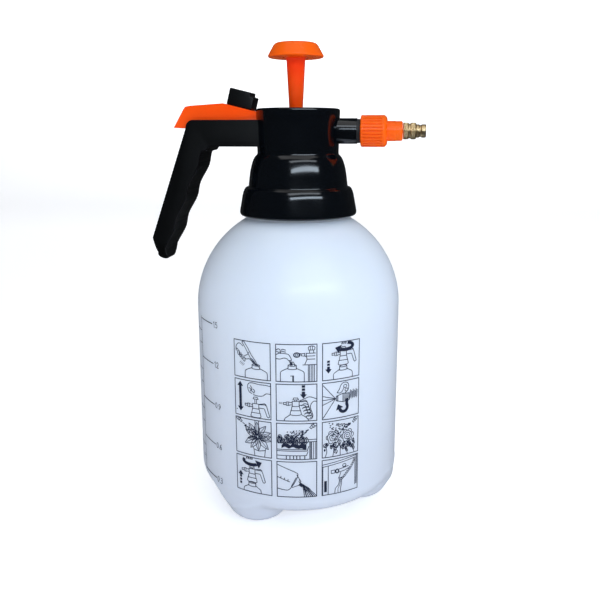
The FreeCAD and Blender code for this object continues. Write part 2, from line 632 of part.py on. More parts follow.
def build_cylinder():
    """Pump cylinder: a flanged tube, its floor drilled for air, with the cap and wiper in its top."""
    floor, top = d.cylinder_foot, d.cylinder_top
    tube = pump_piece("cylinder_turned", [
        (d.stub_radius + d.fit, floor), (d.cylinder_radius, floor),
        (d.cylinder_radius, top - d.flange_thick), (d.flange_radius, top - d.flange_thick),
        (d.flange_radius, top), (d.cylinder_bore, top), (d.cylinder_bore, floor + 2),
        (d.stub_radius + d.fit, floor + 2)])
    holes = []
    for i in range(6):
        turn = math.radians(60 * i)
        holes.append(cylinder("air_hole_" + str(i), 1.0, floor - 1, floor + 3,
                              x=d.air_circle * math.cos(turn) - d.pump_offset,
                              y=d.air_circle * math.sin(turn)))
    finish(cut("cylinder_drilled", tube, *holes), "pump_cylinder")
    finish(pump_piece("pump_cap", [
        (d.rod_radius + 0.08, d.cylinder_top - 8), (d.cylinder_bore - 0.05, d.cylinder_top - 8),
        (d.cylinder_bore - 0.05, d.head_top - 0.4), (d.cylinder_bore - 0.6, d.head_top),
        (d.rod_radius + 0.9, d.head_top), (d.rod_radius + 0.9, d.cylinder_top - 2),
        (d.rod_radius + 0.08, d.cylinder_top - 2)]), "pump_cap")
    finish(pump_piece("rod_wiper", [
        (d.rod_radius + 0.04, d.cylinder_top - 2), (d.rod_radius + 0.85, d.cylinder_top - 2),
        (d.rod_radius + 0.85, d.head_top - 1.2), (d.rod_radius + 0.04, d.head_top - 1.2)]), "rod_wiper")


def build_check_valve():
    """Rubber mushroom under the cylinder's floor: it lets air out into the bottle and not back."""
    floor = d.cylinder_foot
    finish(pump_piece("check_valve", [
        (0, floor - 2.4), (2.5, floor - 2.4), (6.2, floor - 0.9), (6.2, floor - 0.1),
        (d.stub_radius, floor - 0.1), (d.stub_radius, floor + 3.8), (d.stub_radius + 0.6, floor + 3.8),
        (d.stub_radius - 0.6, floor + 5.4), (0, floor + 5.4)]), "check_valve")


def build_plunger():
    """Plunger: knob and tapered stem above, rod through the cap, piston and its cup at the foot."""
    waist = d.head_top + 0.5
    finish(pump_piece("pump_knob", [
        (0, waist), (d.stem_waist, waist), (d.stem_shoulder, d.knob_rim - 0.6),
        (d.knob_radius - 2.4, d.knob_rim - 0.6), (d.knob_radius - 0.4, d.knob_rim - 0.6),
        (d.knob_radius, d.knob_rim + 0.4), (d.knob_flat + 1.2, d.knob_top - 1),
        (d.knob_flat - 0.6, d.knob_top), (0, d.knob_top)]), "pump_knob")
    finish(pump_piece("pump_rod", [
        (0, d.rod_foot), (d.rod_radius - 1.2, d.rod_foot),
        (d.rod_radius - 1.2, d.rod_foot + d.piston_height), (d.rod_radius, d.rod_foot + d.piston_height),
        (d.rod_radius, waist), (0, waist)]), "pump_rod")
    seat = d.rod_foot + 1
    groove_foot = d.rod_foot + 3
    groove_top = groove_foot + 3
    finish(pump_piece("piston", [
        (d.rod_radius - 1.2, seat), (d.cylinder_bore - 0.4, seat), (d.cylinder_bore - 0.4, groove_foot),
        (d.cylinder_bore - 2.6, groove_foot), (d.cylinder_bore - 2.6, groove_top),
        (d.cylinder_bore - 0.4, groove_top), (d.cylinder_bore - 0.4, d.rod_foot + d.piston_height),
        (d.rod_radius - 1.2, d.rod_foot + d.piston_height)]), "piston")
    finish(pump_piece("piston_cup", [
        (d.cylinder_bore - 2.6, groove_foot), (d.cylinder_bore - 0.6, groove_foot),
        (d.cylinder_bore - 0.05, groove_foot + 0.8), (d.cylinder_bore - 0.05, groove_foot + 2.2),
        (d.cylinder_bore - 0.6, groove_top), (d.cylinder_bore - 2.6, groove_top)]), "piston_cup")


# ---- build, check and export --------------------------------------------------------------------

def check_all():
    """Stop if any object failed to compute or a sub-part isn't a sound solid."""
    doc.recompute()
    for item in doc.Objects:
        if "Invalid" in item.State or "Error" in item.State:
            raise RuntimeError("failed object: " + item.Name)
    for item in nodes:
        if item.Shape.isNull() or not item.Shape.isValid() or not item.Shape.Solids:
            raise RuntimeError("unsound shape: " + item.Label)


def export_all():
    os.makedirs("parts", exist_ok=True)
    for item in nodes:
        item.Shape.exportStep(os.path.join("parts", item.Label + ".step"))
        box_now = item.Shape.BoundBox
        print("%-16s solids %d  volume %9.1f  z %6.1f to %6.1f"
              % (item.Label, len(item.Shape.Solids), item.Shape.Volume, box_now.ZMin, box_now.ZMax))


build_bottle()
build_gasket()
build_head()
build_handle()
build_trigger()
build_button()
build_valve_body()
build_valve()
build_spring()
build_suction()
build_washer()
build_nut()
build_nozzle()
build_cylinder()
build_check_valve()
build_plunger()
check_all()
export_all()
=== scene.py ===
import json
import math

import bmesh
import bpy
import numpy as np
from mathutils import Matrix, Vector


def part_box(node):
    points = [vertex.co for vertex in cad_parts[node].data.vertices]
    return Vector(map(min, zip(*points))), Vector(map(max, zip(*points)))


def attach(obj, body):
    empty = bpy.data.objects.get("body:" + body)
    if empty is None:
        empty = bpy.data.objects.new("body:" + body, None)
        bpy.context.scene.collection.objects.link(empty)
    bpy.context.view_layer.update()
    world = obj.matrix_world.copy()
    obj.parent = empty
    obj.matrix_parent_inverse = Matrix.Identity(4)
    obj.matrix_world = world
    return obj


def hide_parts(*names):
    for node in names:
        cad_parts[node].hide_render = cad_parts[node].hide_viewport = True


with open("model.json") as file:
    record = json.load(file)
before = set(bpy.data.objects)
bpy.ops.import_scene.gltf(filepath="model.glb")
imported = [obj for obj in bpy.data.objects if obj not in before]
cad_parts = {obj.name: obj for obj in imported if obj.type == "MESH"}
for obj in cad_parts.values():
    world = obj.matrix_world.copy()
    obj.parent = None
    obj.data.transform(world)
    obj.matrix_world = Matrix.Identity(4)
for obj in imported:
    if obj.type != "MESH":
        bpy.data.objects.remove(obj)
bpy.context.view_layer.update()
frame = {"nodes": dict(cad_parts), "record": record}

mm = 0.001
nodes = frame["nodes"]
record = frame["record"]


def nodeBody(node):
    for body, held in record["behaviour"]["bodies"].items():
        if node in held:
            return body


def mid(node):
    low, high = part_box(node)
    return (np.array(low) + np.array(high)) / 2 / mm


class Val:
    # one output socket of a material's node tree, with arithmetic on it
    def __init__(self, paint, socket):
        self.paint, self.socket = paint, socket

    def maths(self, operation, *others, **more):
        return self.paint.node("ShaderNodeMath", {"operation": operation, **more}, *others)[0]

    def __add__(self, other): return self.maths("ADD", self, other)
    def __radd__(self, other): return self.maths("ADD", other, self)
    def __sub__(self, other): return self.maths("SUBTRACT", self, other)
    def __rsub__(self, other): return self.maths("SUBTRACT", other, self)
    def __mul__(self, other): return self.maths("MULTIPLY", self, other)
    def __rmul__(self, other): return self.maths("MULTIPLY", other, self)
    def __truediv__(self, other): return self.maths("DIVIDE", self, other)
    def __rtruediv__(self, other): return self.maths("DIVIDE", other, self)
    def __pow__(self, other): return self.maths("POWER", self, other)
    def clamped(self): return self.maths("ADD", self, 0.0, use_clamp=True)
    def sine(self): return self.maths("SINE", self)


class Paint:
    # a material whose nodes are made one call at a time
    def __init__(self, name, **fixed):
        self.material = bpy.data.materials.new(name)
        self.material.use_nodes = True
        self.tree = self.material.node_tree
        self.shader = self.tree.nodes["Principled BSDF"]
        for socket, amount in fixed.items():
            self.shader.inputs[socket.replace("_", " ")].default_value = amount
        self.place = self.node("ShaderNodeTexCoord", {})["Object"]

    def node(self, kind, settings, *values, **named):
        # settings first, then sockets by order or by name; the outputs come back by order or name
        made = self.tree.nodes.new(kind)
        for key, amount in settings.items():
            if key == "stops":
                ramp = made.color_ramp
                for i, (at, colour) in enumerate(amount):
                    stop = ramp.elements[i] if i < 2 else ramp.elements.new(at)
                    stop.position, stop.color = at, colour
            else:
                setattr(made, key, amount)
        for socket, amount in list(enumerate(values)) + [(k.replace("_", " "), v) for k, v in named.items()]:
            if isinstance(amount, Val):
                self.tree.links.new(amount.socket, made.inputs[socket])
            else:
                made.inputs[socket].default_value = amount

        class Outputs:
            def __getitem__(_, key):
                return Val(self, made.outputs[key])
        return Outputs()

    def feed(self, socket, amount):
        self.tree.links.new(amount.socket, self.shader.inputs[socket])
        return self

    def noise(self, scale, detail=3.0, rough=0.5, stretch=(1, 1, 1)):
        place = self.node("ShaderNodeMapping", {}, Vector=self.place, Scale=stretch)[0]
        return self.node("ShaderNodeTexNoise", {}, Vector=place, Scale=scale, Detail=detail,
                         Roughness=rough)[0]

    def mix(self, share, first, second):
        self.node("ShaderNodeMix", {"data_type": "RGBA"})
        mixer = self.tree.nodes[-1]
        for socket, amount in ((0, share), (6, first), (7, second)):
            if isinstance(amount, Val):
                self.tree.links.new(amount.socket, mixer.inputs[socket])
            else:
                mixer.inputs[socket].default_value = amount
        return Val(self, mixer.outputs[2])

    def bump(self, height, distance, strength=1.0):
        made = self.node("ShaderNodeBump", {}, Height=height, Distance=distance, Strength=strength)
        return self.feed("Normal", made[0])

    def height(self, low, high):
        # 0 at z = low and 1 at z = high, in metres
        z = self.node("ShaderNodeSeparateXYZ", {}, self.place)[2]
        return ((z - low) / (high - low)).clamped()


def rgb(r, g, b):
    return (r, g, b, 1.0)


milk = {"low": rgb(0.60, 0.63, 0.72), "middle": rgb(0.70, 0.75, 0.84), "high": rgb(0.74, 0.80, 0.89),
        "rough": 0.34, "cloud": 0.05}


def milkyPlastic():
    # blown polyethylene: slow cloudiness, darker and greyer towards the bottom, lighter and bluer towards the
    # shoulder
    paint = Paint("milkyPlastic", Subsurface_Weight=0.35, Subsurface_Scale=0.012, IOR=1.5, Coat_Weight=0.1)
    paint.shader.inputs["Subsurface Radius"].default_value = (0.8, 0.9, 1.0)
    rise = paint.height(0.0, 0.17)
    tone = paint.mix(rise ** 0.7, milk["low"], milk["high"])
    cloud = paint.noise(28.0, 4.0)
    paint.feed("Base Color", paint.mix((cloud - 0.5) * milk["cloud"] * 4 + 0.1, tone, milk["middle"]))
    fine = paint.noise(900.0, 2.0)
    drawn = paint.noise(60.0, 3.0, stretch=(1, 1, 0.15))
    paint.feed("Roughness", milk["rough"] + (drawn - 0.5) * 0.12)
    return paint.bump(fine * 0.3 + drawn * 1.6, 0.00022, 0.5).material


def glossBlack():
    # polished moulding with faint flow lines and handling haze
    paint = Paint("glossBlack", Coat_Weight=0.25, Coat_Roughness=0.06, IOR=1.5)
    haze = paint.noise(45.0, 5.0, 0.6)
    fine = paint.noise(1400.0, 2.0)
    paint.feed("Base Color", paint.mix(haze, rgb(0.0008, 0.0014, 0.0024), rgb(0.0020, 0.0032, 0.0050)))
    paint.feed("Roughness", 0.13 + (haze - 0.45) * 0.18)
    return paint.bump(haze * 1.0 + fine * 0.06, 0.00012, 0.35).material


def satinBlack(name="satinBlack", rough=0.40, tone=0.0022):
    # spark-eroded texture: fine even grain over a slow waviness
    paint = Paint(name, IOR=1.48, Specular_IOR_Level=0.3)
    grain = paint.noise(2200.0, 2.0, 0.4)
    wave = paint.noise(55.0, 3.0)
    deep, light = rgb(tone * 0.7, tone * 0.72, tone * 0.8), rgb(tone, tone * 1.05, tone * 1.2)
    paint.feed("Base Color", paint.mix(wave, deep, light))
    paint.feed("Roughness", rough + (wave - 0.5) * 0.16)
    return paint.bump(grain * 0.5 + wave * 0.8, 0.0001, 0.5).material


def orangePlastic(name="orangePlastic", light=rgb(1.0, 0.155, 0.004), deep=rgb(0.94, 0.095, 0.002),
                  rough=0.27, paintedShadeHeights=None):
    # glossy orange moulding: slight pigment drift, soft ripples; if asked, painted shade: redder from one height
    # to another
    paint = Paint(name, Subsurface_Weight=0.12, Subsurface_Scale=0.003, IOR=1.5, Coat_Weight=0.04,
                  Specular_IOR_Level=0.22)
    paint.shader.inputs["Subsurface Radius"].default_value = (1.0, 0.35, 0.1)
    drift = paint.noise(40.0, 4.0)
    fine = paint.noise(1500.0, 2.0)
    tone = paint.mix((drift - 0.2) * 1.4, deep, light)
    # painted shade: deep red mixed in between the two heights, standing in for the shadow the knob casts on the
    # stem
    if paintedShadeHeights:
        tone = paint.mix(paint.height(*paintedShadeHeights), tone, rgb(1.0, 0.012, 0.0005))
    paint.feed("Base Color", tone)
    paint.feed("Roughness", rough + (drift - 0.5) * 0.14)
    return paint.bump(drift * 1.0 + fine * 0.08, 0.00012, 0.4).material


def turnedBrass():
    # turning rings across the axis, slight tarnish between them
    paint = Paint("turnedBrass", Metallic=1.0)
    along = paint.node("ShaderNodeSeparateXYZ", {}, paint.place)[0]
    rings = (along * 22000.0).sine()
    tarnish = paint.noise(260.0, 4.0)
    paint.feed("Base Color", paint.mix(tarnish, rgb(0.78, 0.53, 0.25), rgb(1.0, 0.78, 0.46)))
    paint.feed("Roughness", 0.38 + rings * 0.04 + (tarnish - 0.5) * 0.2)
    return paint.bump(rings * 0.5 + tarnish, 0.00004, 0.6).material


def blackRubber():
    paint = Paint("blackRubber", IOR=1.5)
    bloom = paint.noise(300.0, 4.0)
    paint.feed("Base Color", paint.mix(bloom, rgb(0.010, 0.010, 0.011), rgb(0.030, 0.030, 0.032)))
    paint.feed("Roughness", 0.62 + (bloom - 0.5) * 0.3)
    return paint.bump(bloom, 0.00005, 0.6).material


def springSteel():
    paint = Paint("springSteel", Metallic=1.0)
    drawn = paint.noise(500.0, 3.0, stretch=(1, 1, 0.2))
    paint.feed("Base Color", paint.mix(drawn, rgb(0.42, 0.42, 0.44), rgb(0.68, 0.68, 0.70)))
    paint.feed("Roughness", 0.24 + drawn * 0.16)
    return paint.bump(drawn, 0.00002, 0.5).material


def naturalPlastic():
    paint = Paint("naturalPlastic", Subsurface_Weight=0.3, Subsurface_Scale=0.004, IOR=1.49)
    drift = paint.noise(70.0, 3.0)
    paint.feed("Base Color", paint.mix(drift, rgb(0.70, 0.73, 0.74), rgb(0.82, 0.85, 0.86)))
    paint.feed("Roughness", 0.36 + (drift - 0.5) * 0.2)
    return paint.bump(drift, 0.00008, 0.4).material


def printInk():
    # screen print: dense navy, slightly starved here and there
    paint = Paint("printInk", IOR=1.45)
    starved = paint.noise(900.0, 3.0)
    paint.feed("Base Color", paint.mix(starved, rgb(0.006, 0.010, 0.032), rgb(0.020, 0.028, 0.065)))
    paint.feed("Roughness", 0.40 + (starved - 0.5) * 0.2)
    return paint.bump(starved, 0.00002, 0.4).material


finishes = {"bottle": milkyPlastic(), "head": glossBlack(), "handle": satinBlack(), "orange": orangePlastic(),
            "brass": turnedBrass(), "rubber": blackRubber(), "steel": springSteel(), "tube": naturalPlastic()}
ink = printInk()
# the stem's orange, with painted shade: redder from 0.262 m up to 0.300 m where the knob shades it
stemPaintedShadeOrange = orangePlastic("stemPaintedShadeOrange", rgb(1.0, 0.10, 0.001), rgb(0.98, 0.06, 0.0005), 0.30, (0.262, 0.300))
leverOrange = orangePlastic("leverOrange", rgb(1.0, 0.095, 0.002), rgb(0.95, 0.065, 0.001), 0.30)
buttonBlack = satinBlack("buttonBlack", 0.36, 0.003)

for part in record["subparts"]:
    held = nodes[part["node"]].data
    held.materials.clear()
    held.materials.append(finishes[part["material_slot"]])
    for face in held.polygons:
        face.use_smooth = True
    held.set_sharp_from_angle(angle=math.radians(32))
print("frame and finishes are ready")


def place(name, points, faces, body, slot, material, stands=(), smooth=34):
    # points in millimetres become a finished piece that rides on a body
    data = bpy.data.meshes.new(name)
    data.from_pydata((np.asarray(points) * mm).tolist(), [], faces)
    piece = bpy.data.objects.new(name, data)
    bpy.context.collection.objects.link(piece)
    data.materials.append(material)
    for face in data.polygons:
        face.use_smooth = True
    data.set_sharp_from_angle(angle=math.radians(smooth))
    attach(piece, body)
    if stands:
        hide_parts(*stands)
    return piece


def gridFaces(rows, columns, wrap=True):
    # quads between neighbouring rows and columns of a grid; columns may close on themselves
    last = columns if wrap else columns - 1
    i, j = np.meshgrid(np.arange(rows - 1), np.arange(last), indexing="ij")
    k = (j + 1) % columns
    quads = np.stack([i * columns + j, i * columns + k, (i + 1) * columns + k, (i + 1) * columns + j], -1)
    return quads.reshape(-1, 4)


def rounded(corners, radii, steps=6):
    # each corner becomes the parabola between the points that lie its radius before and after it
    pts = np.asarray(corners, float)
    out = [pts[:1]]
    t = np.linspace(0, 1, steps)[:, None]
    for before, here, after, radius in zip(pts[:-2], pts[1:-1], pts[2:], radii):
        back, ahead = before - here, after - here
        back = here + back * min(radius / np.linalg.norm(back), 0.49)
        ahead = here + ahead * min(radius / np.linalg.norm(ahead), 0.49)
        out.append((1 - t) ** 2 * back + 2 * t * (1 - t) * here + t ** 2 * ahead)
    out.append(pts[-1:])
    return np.concatenate(out)


def latheUp(profile, centre=(0, 0), turns=160, swell=None):
    # radius and height turned about a vertical axis; swell adds to the radius over angle and height
    angle = np.linspace(0, 2 * np.pi, turns, endpoint=False)
    r = profile[:, :1] + (0 if swell is None else swell(angle[None, :], profile[:, 1:]))
    r = np.broadcast_to(r, (len(profile), turns))
    z = np.broadcast_to(profile[:, 1:], r.shape)
    return np.stack([centre[0] + r * np.cos(angle), centre[1] + r * np.sin(angle), z], -1)


def latheAlong(profile, height, turns=160, swell=None):
    # radius and x turned about the nozzle's axis
    angle = np.linspace(0, 2 * np.pi, turns, endpoint=False)
    r = profile[:, :1] + (0 if swell is None else swell(angle[None, :], profile[:, 1:]))
    r = np.broadcast_to(r, (len(profile), turns))
    x = np.broadcast_to(profile[:, 1:], r.shape)
    return np.stack([x, r * np.sin(angle), height + r * np.cos(angle)], -1)


def turned(name, grid, body, slot, material, stands=(), smooth=34, flip=False):
    # a closed turned skin: grid rows round the axis, ends drawn together at the poles
    rows, columns = grid.shape[:2]
    points = grid.reshape(-1, 3)
    quads = gridFaces(rows, columns)
    faces = [tuple(q) for q in (quads[:, ::-1] if flip else quads).tolist()]
    piece = place(name, points, faces, body, slot, material, stands, smooth)
    tidy = bmesh.new()
    tidy.from_mesh(piece.data)
    bmesh.ops.remove_doubles(tidy, verts=tidy.verts, dist=1e-7)
    bmesh.ops.dissolve_degenerate(tidy, edges=tidy.edges, dist=1e-8)
    bmesh.ops.recalc_face_normals(tidy, faces=tidy.faces)
    tidy.to_mesh(piece.data)
    tidy.free()
    return piece


def softened(node, width, steps=3, material=None, angle=38):
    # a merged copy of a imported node, its sharp edges rounded
    source = nodes[node]
    data = source.data.copy()
    piece = bpy.data.objects.new(node + "Soft", data)
    bpy.context.collection.objects.link(piece)
    work = bmesh.new()
    work.from_mesh(data)
    bmesh.ops.remove_doubles(work, verts=work.verts, dist=2e-6)
    bmesh.ops.dissolve_limit(work, angle_limit=math.radians(1.0), verts=work.verts, edges=work.edges)
    work.to_mesh(data)
    work.free()
    if material:
        data.materials.clear()
        data.materials.append(material)
    data.set_sharp_from_angle(angle=math.radians(180))
    bevel = piece.modifiers.new("edges", "BEVEL")
    bevel.width, bevel.segments = width * mm, steps
    bevel.limit_method, bevel.angle_limit = "ANGLE", math.radians(angle)
    bevel.harden_normals = True
    bevel.use_clamp_overlap = True
    for face in data.polygons:
        face.use_smooth = True
    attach(piece, nodeBody(node))
    [p["material_slot"] for p in record["subparts"] if p["node"] == node][0]
    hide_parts(node)
    return piece


bottle = {"radius": 65.0, "base": 64.2, "floor": 13.6, "corner": 12.5, "shoulder": 130.0, "dome": 63.0,
          "neck": 31.0, "rim": 199.9, "bore": 27.0, "wellFloor": 186.0, "footRadius": 15.5,
          "footFlare": 0.58, "footCentre": 40.0, "footInner": 42.0, "footLean": 0.385, "footSlant": 0.93,
          "footTop": 25.0, "feet": (-0.5, 119.5, 239.5), "melt": 2.2, "pad": 6.0, "rayStart": 45.0, "turns": 320}


def joined(a, b, melt):
    # the smooth union of two distance fields: a lower envelope with its crease filled
    share = np.clip(0.5 + 0.5 * (b - a) / melt, 0, 1)
    return b * (1 - share) + a * share - melt * share * (1 - share)


def bottleWall(z):
    b = bottle
    return b["base"] + (b["radius"] - b["base"]) * (z - b["floor"]) / (b["shoulder"] - b["floor"])


def bottleField(x, y, z):
    # below zero inside: a drum with a round lower corner, an ellipsoid dome, a neck and three lobes
    b = bottle
    r = np.hypot(x, y)
    out = r - (bottleWall(z) - b["corner"])
    down = b["floor"] + b["corner"] - z
    drum = np.hypot(np.maximum(out, 0), np.maximum(down, 0)) - b["corner"]
    drum = drum + np.minimum(np.maximum(out, down), 0)
    dome = (np.sqrt((r / b["radius"]) ** 2 + ((z - b["shoulder"]) / b["dome"]) ** 2) - 1) * b["dome"]
    body = np.where(z < b["shoulder"], drum, dome)
    neck = np.maximum(r - b["neck"], np.maximum(z - b["rim"], b["shoulder"] - z))
    body = joined(body, neck, 2.5)
    for turn in b["feet"]:
        a = math.radians(turn)
        off = np.hypot(x - b["footCentre"] * math.cos(a), y - b["footCentre"] * math.sin(a))
        lean = 1 / math.hypot(1, b["footFlare"])
        side = (off - b["footRadius"] - b["footFlare"] * z) * lean
        inner = (b["footInner"] - b["footLean"] * z - r) * b["footSlant"]
        foot = -joined(-np.maximum(side, inner), z, b["pad"])            # lobe above the floor
        foot = -joined(-foot, b["base"] - 0.6 - r, 1.5)             # and inside the wall
        foot = np.maximum(foot, z - b["footTop"])
        body = joined(body, foot, b["melt"])
    return body


def makeBottle():
    # rays from a point on the axis meet the surface where the field is zero, found by halving
    b = bottle
    start, turns = b["rayStart"], b["turns"]
    theta = np.linspace(0, 2 * np.pi, turns, endpoint=False)
    rise = np.concatenate([np.linspace(-90, -56, 22), np.linspace(-55, -12, 120), np.linspace(-11, 40, 40),
                           np.linspace(41, 76, 60), np.linspace(76.4, 78.5, 6)])
    up = np.radians(rise)[:, None]
    dx, dy, dz = np.cos(up) * np.cos(theta), np.cos(up) * np.sin(theta), np.sin(up) + 0 * theta
    near, far = np.zeros_like(dx), np.full_like(dx, 240.0)
    for _ in range(44):
        half = (near + far) / 2
        inside = bottleField(dx * half, dy * half, start + dz * half) < 0
        near, far = np.where(inside, half, near), np.where(inside, far, half)
    grid = np.stack([dx * near, dy * near, start + dz * near], -1)
    mouth = rounded([(b["neck"] - 0.1, b["rim"] - 0.6), (b["neck"] - 0.2, b["rim"]), (b["bore"], b["rim"]),
                     (b["bore"], b["wellFloor"]), (0.01, b["wellFloor"])], (0.4, 0.8, 2.0))
    grid = np.concatenate([grid, latheUp(mouth, turns=turns)])      # the neck stays open
    turned("bottleSkin", grid, "bottle", "bottle", finishes["bottle"], ("bottle",), 60)


makeBottle()
print("bottle is ready")


label = {"left": -116.0, "pitch": (23.4 + 3.26), "cell": 23.4, "tall": 22.0, "rowPitch": 23.63, "top": 120.6,
         "lift": 0.06, "pen": 0.43}
unit = label["cell"] / 100          # pictures are drawn on cells 100 units wide and 94 high
strokes = []                        # (points in millimetres round and up the wall, width)
bands = []                          # pairs of curves with ink between them


def wallPoints(around, z, lift):
    # millimetres round the wall from the x axis, and heights, to points on the skin found by halving
    angle = around / bottle["radius"]
    near, far = np.full_like(angle, 50.0), np.full_like(angle, 72.0)
    for _ in range(26):
        half = (near + far) / 2
        inside = bottleField(half * np.cos(angle), half * np.sin(angle), z) < 0
        near, far = np.where(inside, half, near), np.where(inside, far, half)
    r = near + lift
    return np.stack([r * np.cos(angle), r * np.sin(angle), z], -1)


def arc(cx, cy, rx, ry, start, end, steps=18):
    a = np.radians(np.linspace(start, end, steps))
    return np.stack([cx + rx * np.cos(a), cy + ry * np.sin(a)], -1)


def flow(*points, steps=6):
    # a Catmull-Rom curve through the points
    p = np.array(points, float)
    p = np.vstack([2 * p[0] - p[1], p, 2 * p[-1] - p[-2]])
    t = np.linspace(0, 1, steps, endpoint=False)[:, None]
    runs = [0.5 * (2 * b + (c - a) * t + (2 * a - 5 * b + 4 * c - d) * t ** 2
                   + (3 * b - a - 3 * c + d) * t ** 3)
            for a, b, c, d in zip(p[:-3], p[1:-2], p[2:-1], p[3:])]
    return np.vstack(runs + [p[-2:-1]])


class Cell:
    # one picture panel; drawing calls take cell units
    def __init__(self, row, column):
        self.x = math.radians(label["left"]) * bottle["radius"] + column * label["pitch"]
        self.z = label["top"] - row * label["rowPitch"] - label["tall"]
        self.dx = self.dy = 0.0
        self.scale = 1.0

    def at(self, dx=0.0, dy=0.0, scale=1.0):
        self.dx, self.dy, self.scale = dx, dy, scale
        return self

    def mapped(self, points):
        p = np.array(points, float) * self.scale + (self.dx, self.dy)
        p = np.clip(p, (0.8, 0.8), (99.2, 93.2))
        return p * unit + (self.x, self.z)

    def pen(self, *points, width=1.0):
        strokes.append((self.mapped(points), label["pen"] * width))

    def curve(self, *points, width=1.0):
        strokes.append((self.mapped(flow(*points)), label["pen"] * width))

    def path(self, points, width=1.0):
        strokes.append((self.mapped(points), label["pen"] * width))

    def band(self, one, other):
        bands.append((self.mapped(one), self.mapped(other)))

    def frame(self):
        for side in (((0, 0), (100, 0)), ((100, 0), (100, 94)), ((100, 94), (0, 94)), ((0, 94), (0, 0))):
            p = np.array(side, float) * unit + (self.x, self.z)
            strokes.append((p, label["pen"] * 1.15))

    def arrowHead(self, x, y, angle, size):
        # a filled triangle whose tip is ahead of (x, y)
        a = math.radians(angle)
        ahead, side = np.array([math.cos(a), math.sin(a)]), np.array([-math.sin(a), math.cos(a)])
        tip = np.array([x, y]) + ahead * size
        base = np.array([x, y])
        self.band([base + side * size * 0.75, tip], [base - side * size * 0.75, tip])

    def dashedArrow(self, x, y0, y1, width=7.0, dashes=2):
        # short blocks from y0 towards y1, with a head at y1
        way = 1 if y1 > y0 else -1
        length = abs(y1 - y0) - 10
        for i in range(dashes + 1):
            low = y0 + way * length * i / (dashes + 1)
            high = low + way * length / (dashes + 1) * (0.72 if i < dashes else 1.0)
            left, right = x - width / 2, x + width / 2
            self.band([(left, low), (left, high)], [(right, low), (right, high)])
        self.arrowHead(x, y1 - way * 11, 90 * way, 11)

    def turnArrow(self, cx, cy, rx, ry, start, end, width=6.0):
        # a bent thick arrow along part of an ellipse
        a = arc(cx, cy, rx + width / 2, ry + width / 2, start, end, 16)
        b = arc(cx, cy, rx - width / 2, ry - width / 2, start, end, 16)
        self.band(a, b)
        tip = arc(cx, cy, rx, ry, start, end, 16)
        way = tip[-1] - tip[-2]
        self.arrowHead(tip[-1][0], tip[-1][1], math.degrees(math.atan2(way[1], way[0])), width * 1.7)

    def shoulder(self, x, y, half, low):
        # a bottle's top: walls, shoulders and neck, opening at (x, y)
        for s in (-1, 1):
            self.curve((x + s * half, low), (x + s * half, y - 18), (x + s * half * 0.93, y - 12),
                       (x + s * half * 0.6, y - 7), (x + s * 11, y - 4))
            self.pen((x + s * 10, y - 4), (x + s * 10, y + 4))
        self.path(arc(x, y + 4, 10, 2.4, 0, 360))
        self.path(arc(x, y - 4, 12, 2.8, 180, 360))

    def head(self, x, y, k=1.0, knob=8.0):
        # a small spray head, nozzle to the left and grip to the right, its collar's foot at (x, y)
        def q(*pts, **more):
            self.pen(*[(x + k * a, y + k * b) for a, b in pts], **more)
        for s in (-1, 1):
            q((s * 14, 0), (s * 12, 9), (s * 11, 10), (s * 9, 20), (s * 8.4, 21), (s * 8.4, 33))
        q((-12, 9), (12, 9))
        q((-9, 20), (9, 20))
        q((-8.4, 33), (8.4, 33))
        self.path(arc(x, y, 14 * k, 3.4 * k, 180, 360))
        q((-8.4, 24), (-15, 24), (-15, 22.5), (-23, 22.5), (-23, 31.5), (-15, 31.5), (-15, 30), (-8.4, 30))
        q((-23, 24.5), (-30, 24.5), (-30, 29.5), (-23, 29.5))
        q((-18, 22.5), (-18, 31.5))
        q((8.4, 32), (26, 33), (29, 30), (37, 3), (33, 0), (30, 3), (23, 23), (8.4, 23))
        q((10, 33), (24, 36), (28, 33))
        q((-2.2, 33), (-2.2, 33 + knob))
        q((2.2, 33), (2.2, 33 + knob))
        q((-7, 33 + knob), (-4.5, 38 + knob), (4.5, 38 + knob), (7, 33 + knob), (-7, 33 + knob))

    def leaf(self, x0, y0, x1, y1, fat=0.32):
        # two bowed edges and a rib from a stalk end to a tip
        a, b = np.array([x0, y0], float), np.array([x1, y1], float)
        side = np.array([-(b - a)[1], (b - a)[0]]) * fat
        for s in (1, -1):
            self.curve(a, a + (b - a) * 0.35 + s * side, a + (b - a) * 0.72 + s * side * 0.7, b)
        self.pen(a, a + (b - a) * 0.85, width=0.8)

    def drops(self, x0, y0, x1, y1, spread, count, seed):
        # spray: dots in a cone that opens from (x0, y0) to (x1, y1)
        draw = np.random.default_rng(seed)
        t = draw.random(count) ** 0.7
        off = (draw.random(count) - 0.5) * spread * 2 * t
        way = np.array([x1 - x0, y1 - y0], float)
        side = np.array([-way[1], way[0]]) / np.hypot(*way)
        for share, aside in zip(t, off):
            p = np.array([x0, y0]) + way * share + side * aside
            self.pen(p, p + way / np.hypot(*way) * 1.9, width=1.25)

    def sprayTip(self, x, y, angle, size=1.0):
        # the end of a nozzle, pointing along the angle
        a = math.radians(angle)
        f, s = np.array([math.cos(a), math.sin(a)]) * size, np.array([-math.sin(a), math.cos(a)]) * size
        o = np.array([x, y])
        self.pen(o - s * 3, o - s * 3 - f * 8, o - s * 5 - f * 8, o - s * 5 - f * 18)
        self.pen(o + s * 3, o + s * 3 - f * 8, o + s * 5 - f * 8, o + s * 5 - f * 18)
        self.pen(o - s * 3, o + s * 3)
        self.pen(o - s * 5 - f * 8, o + s * 5 - f * 8)
        self.pen(o - s * 5 - f * 13, o + s * 5 - f * 13)


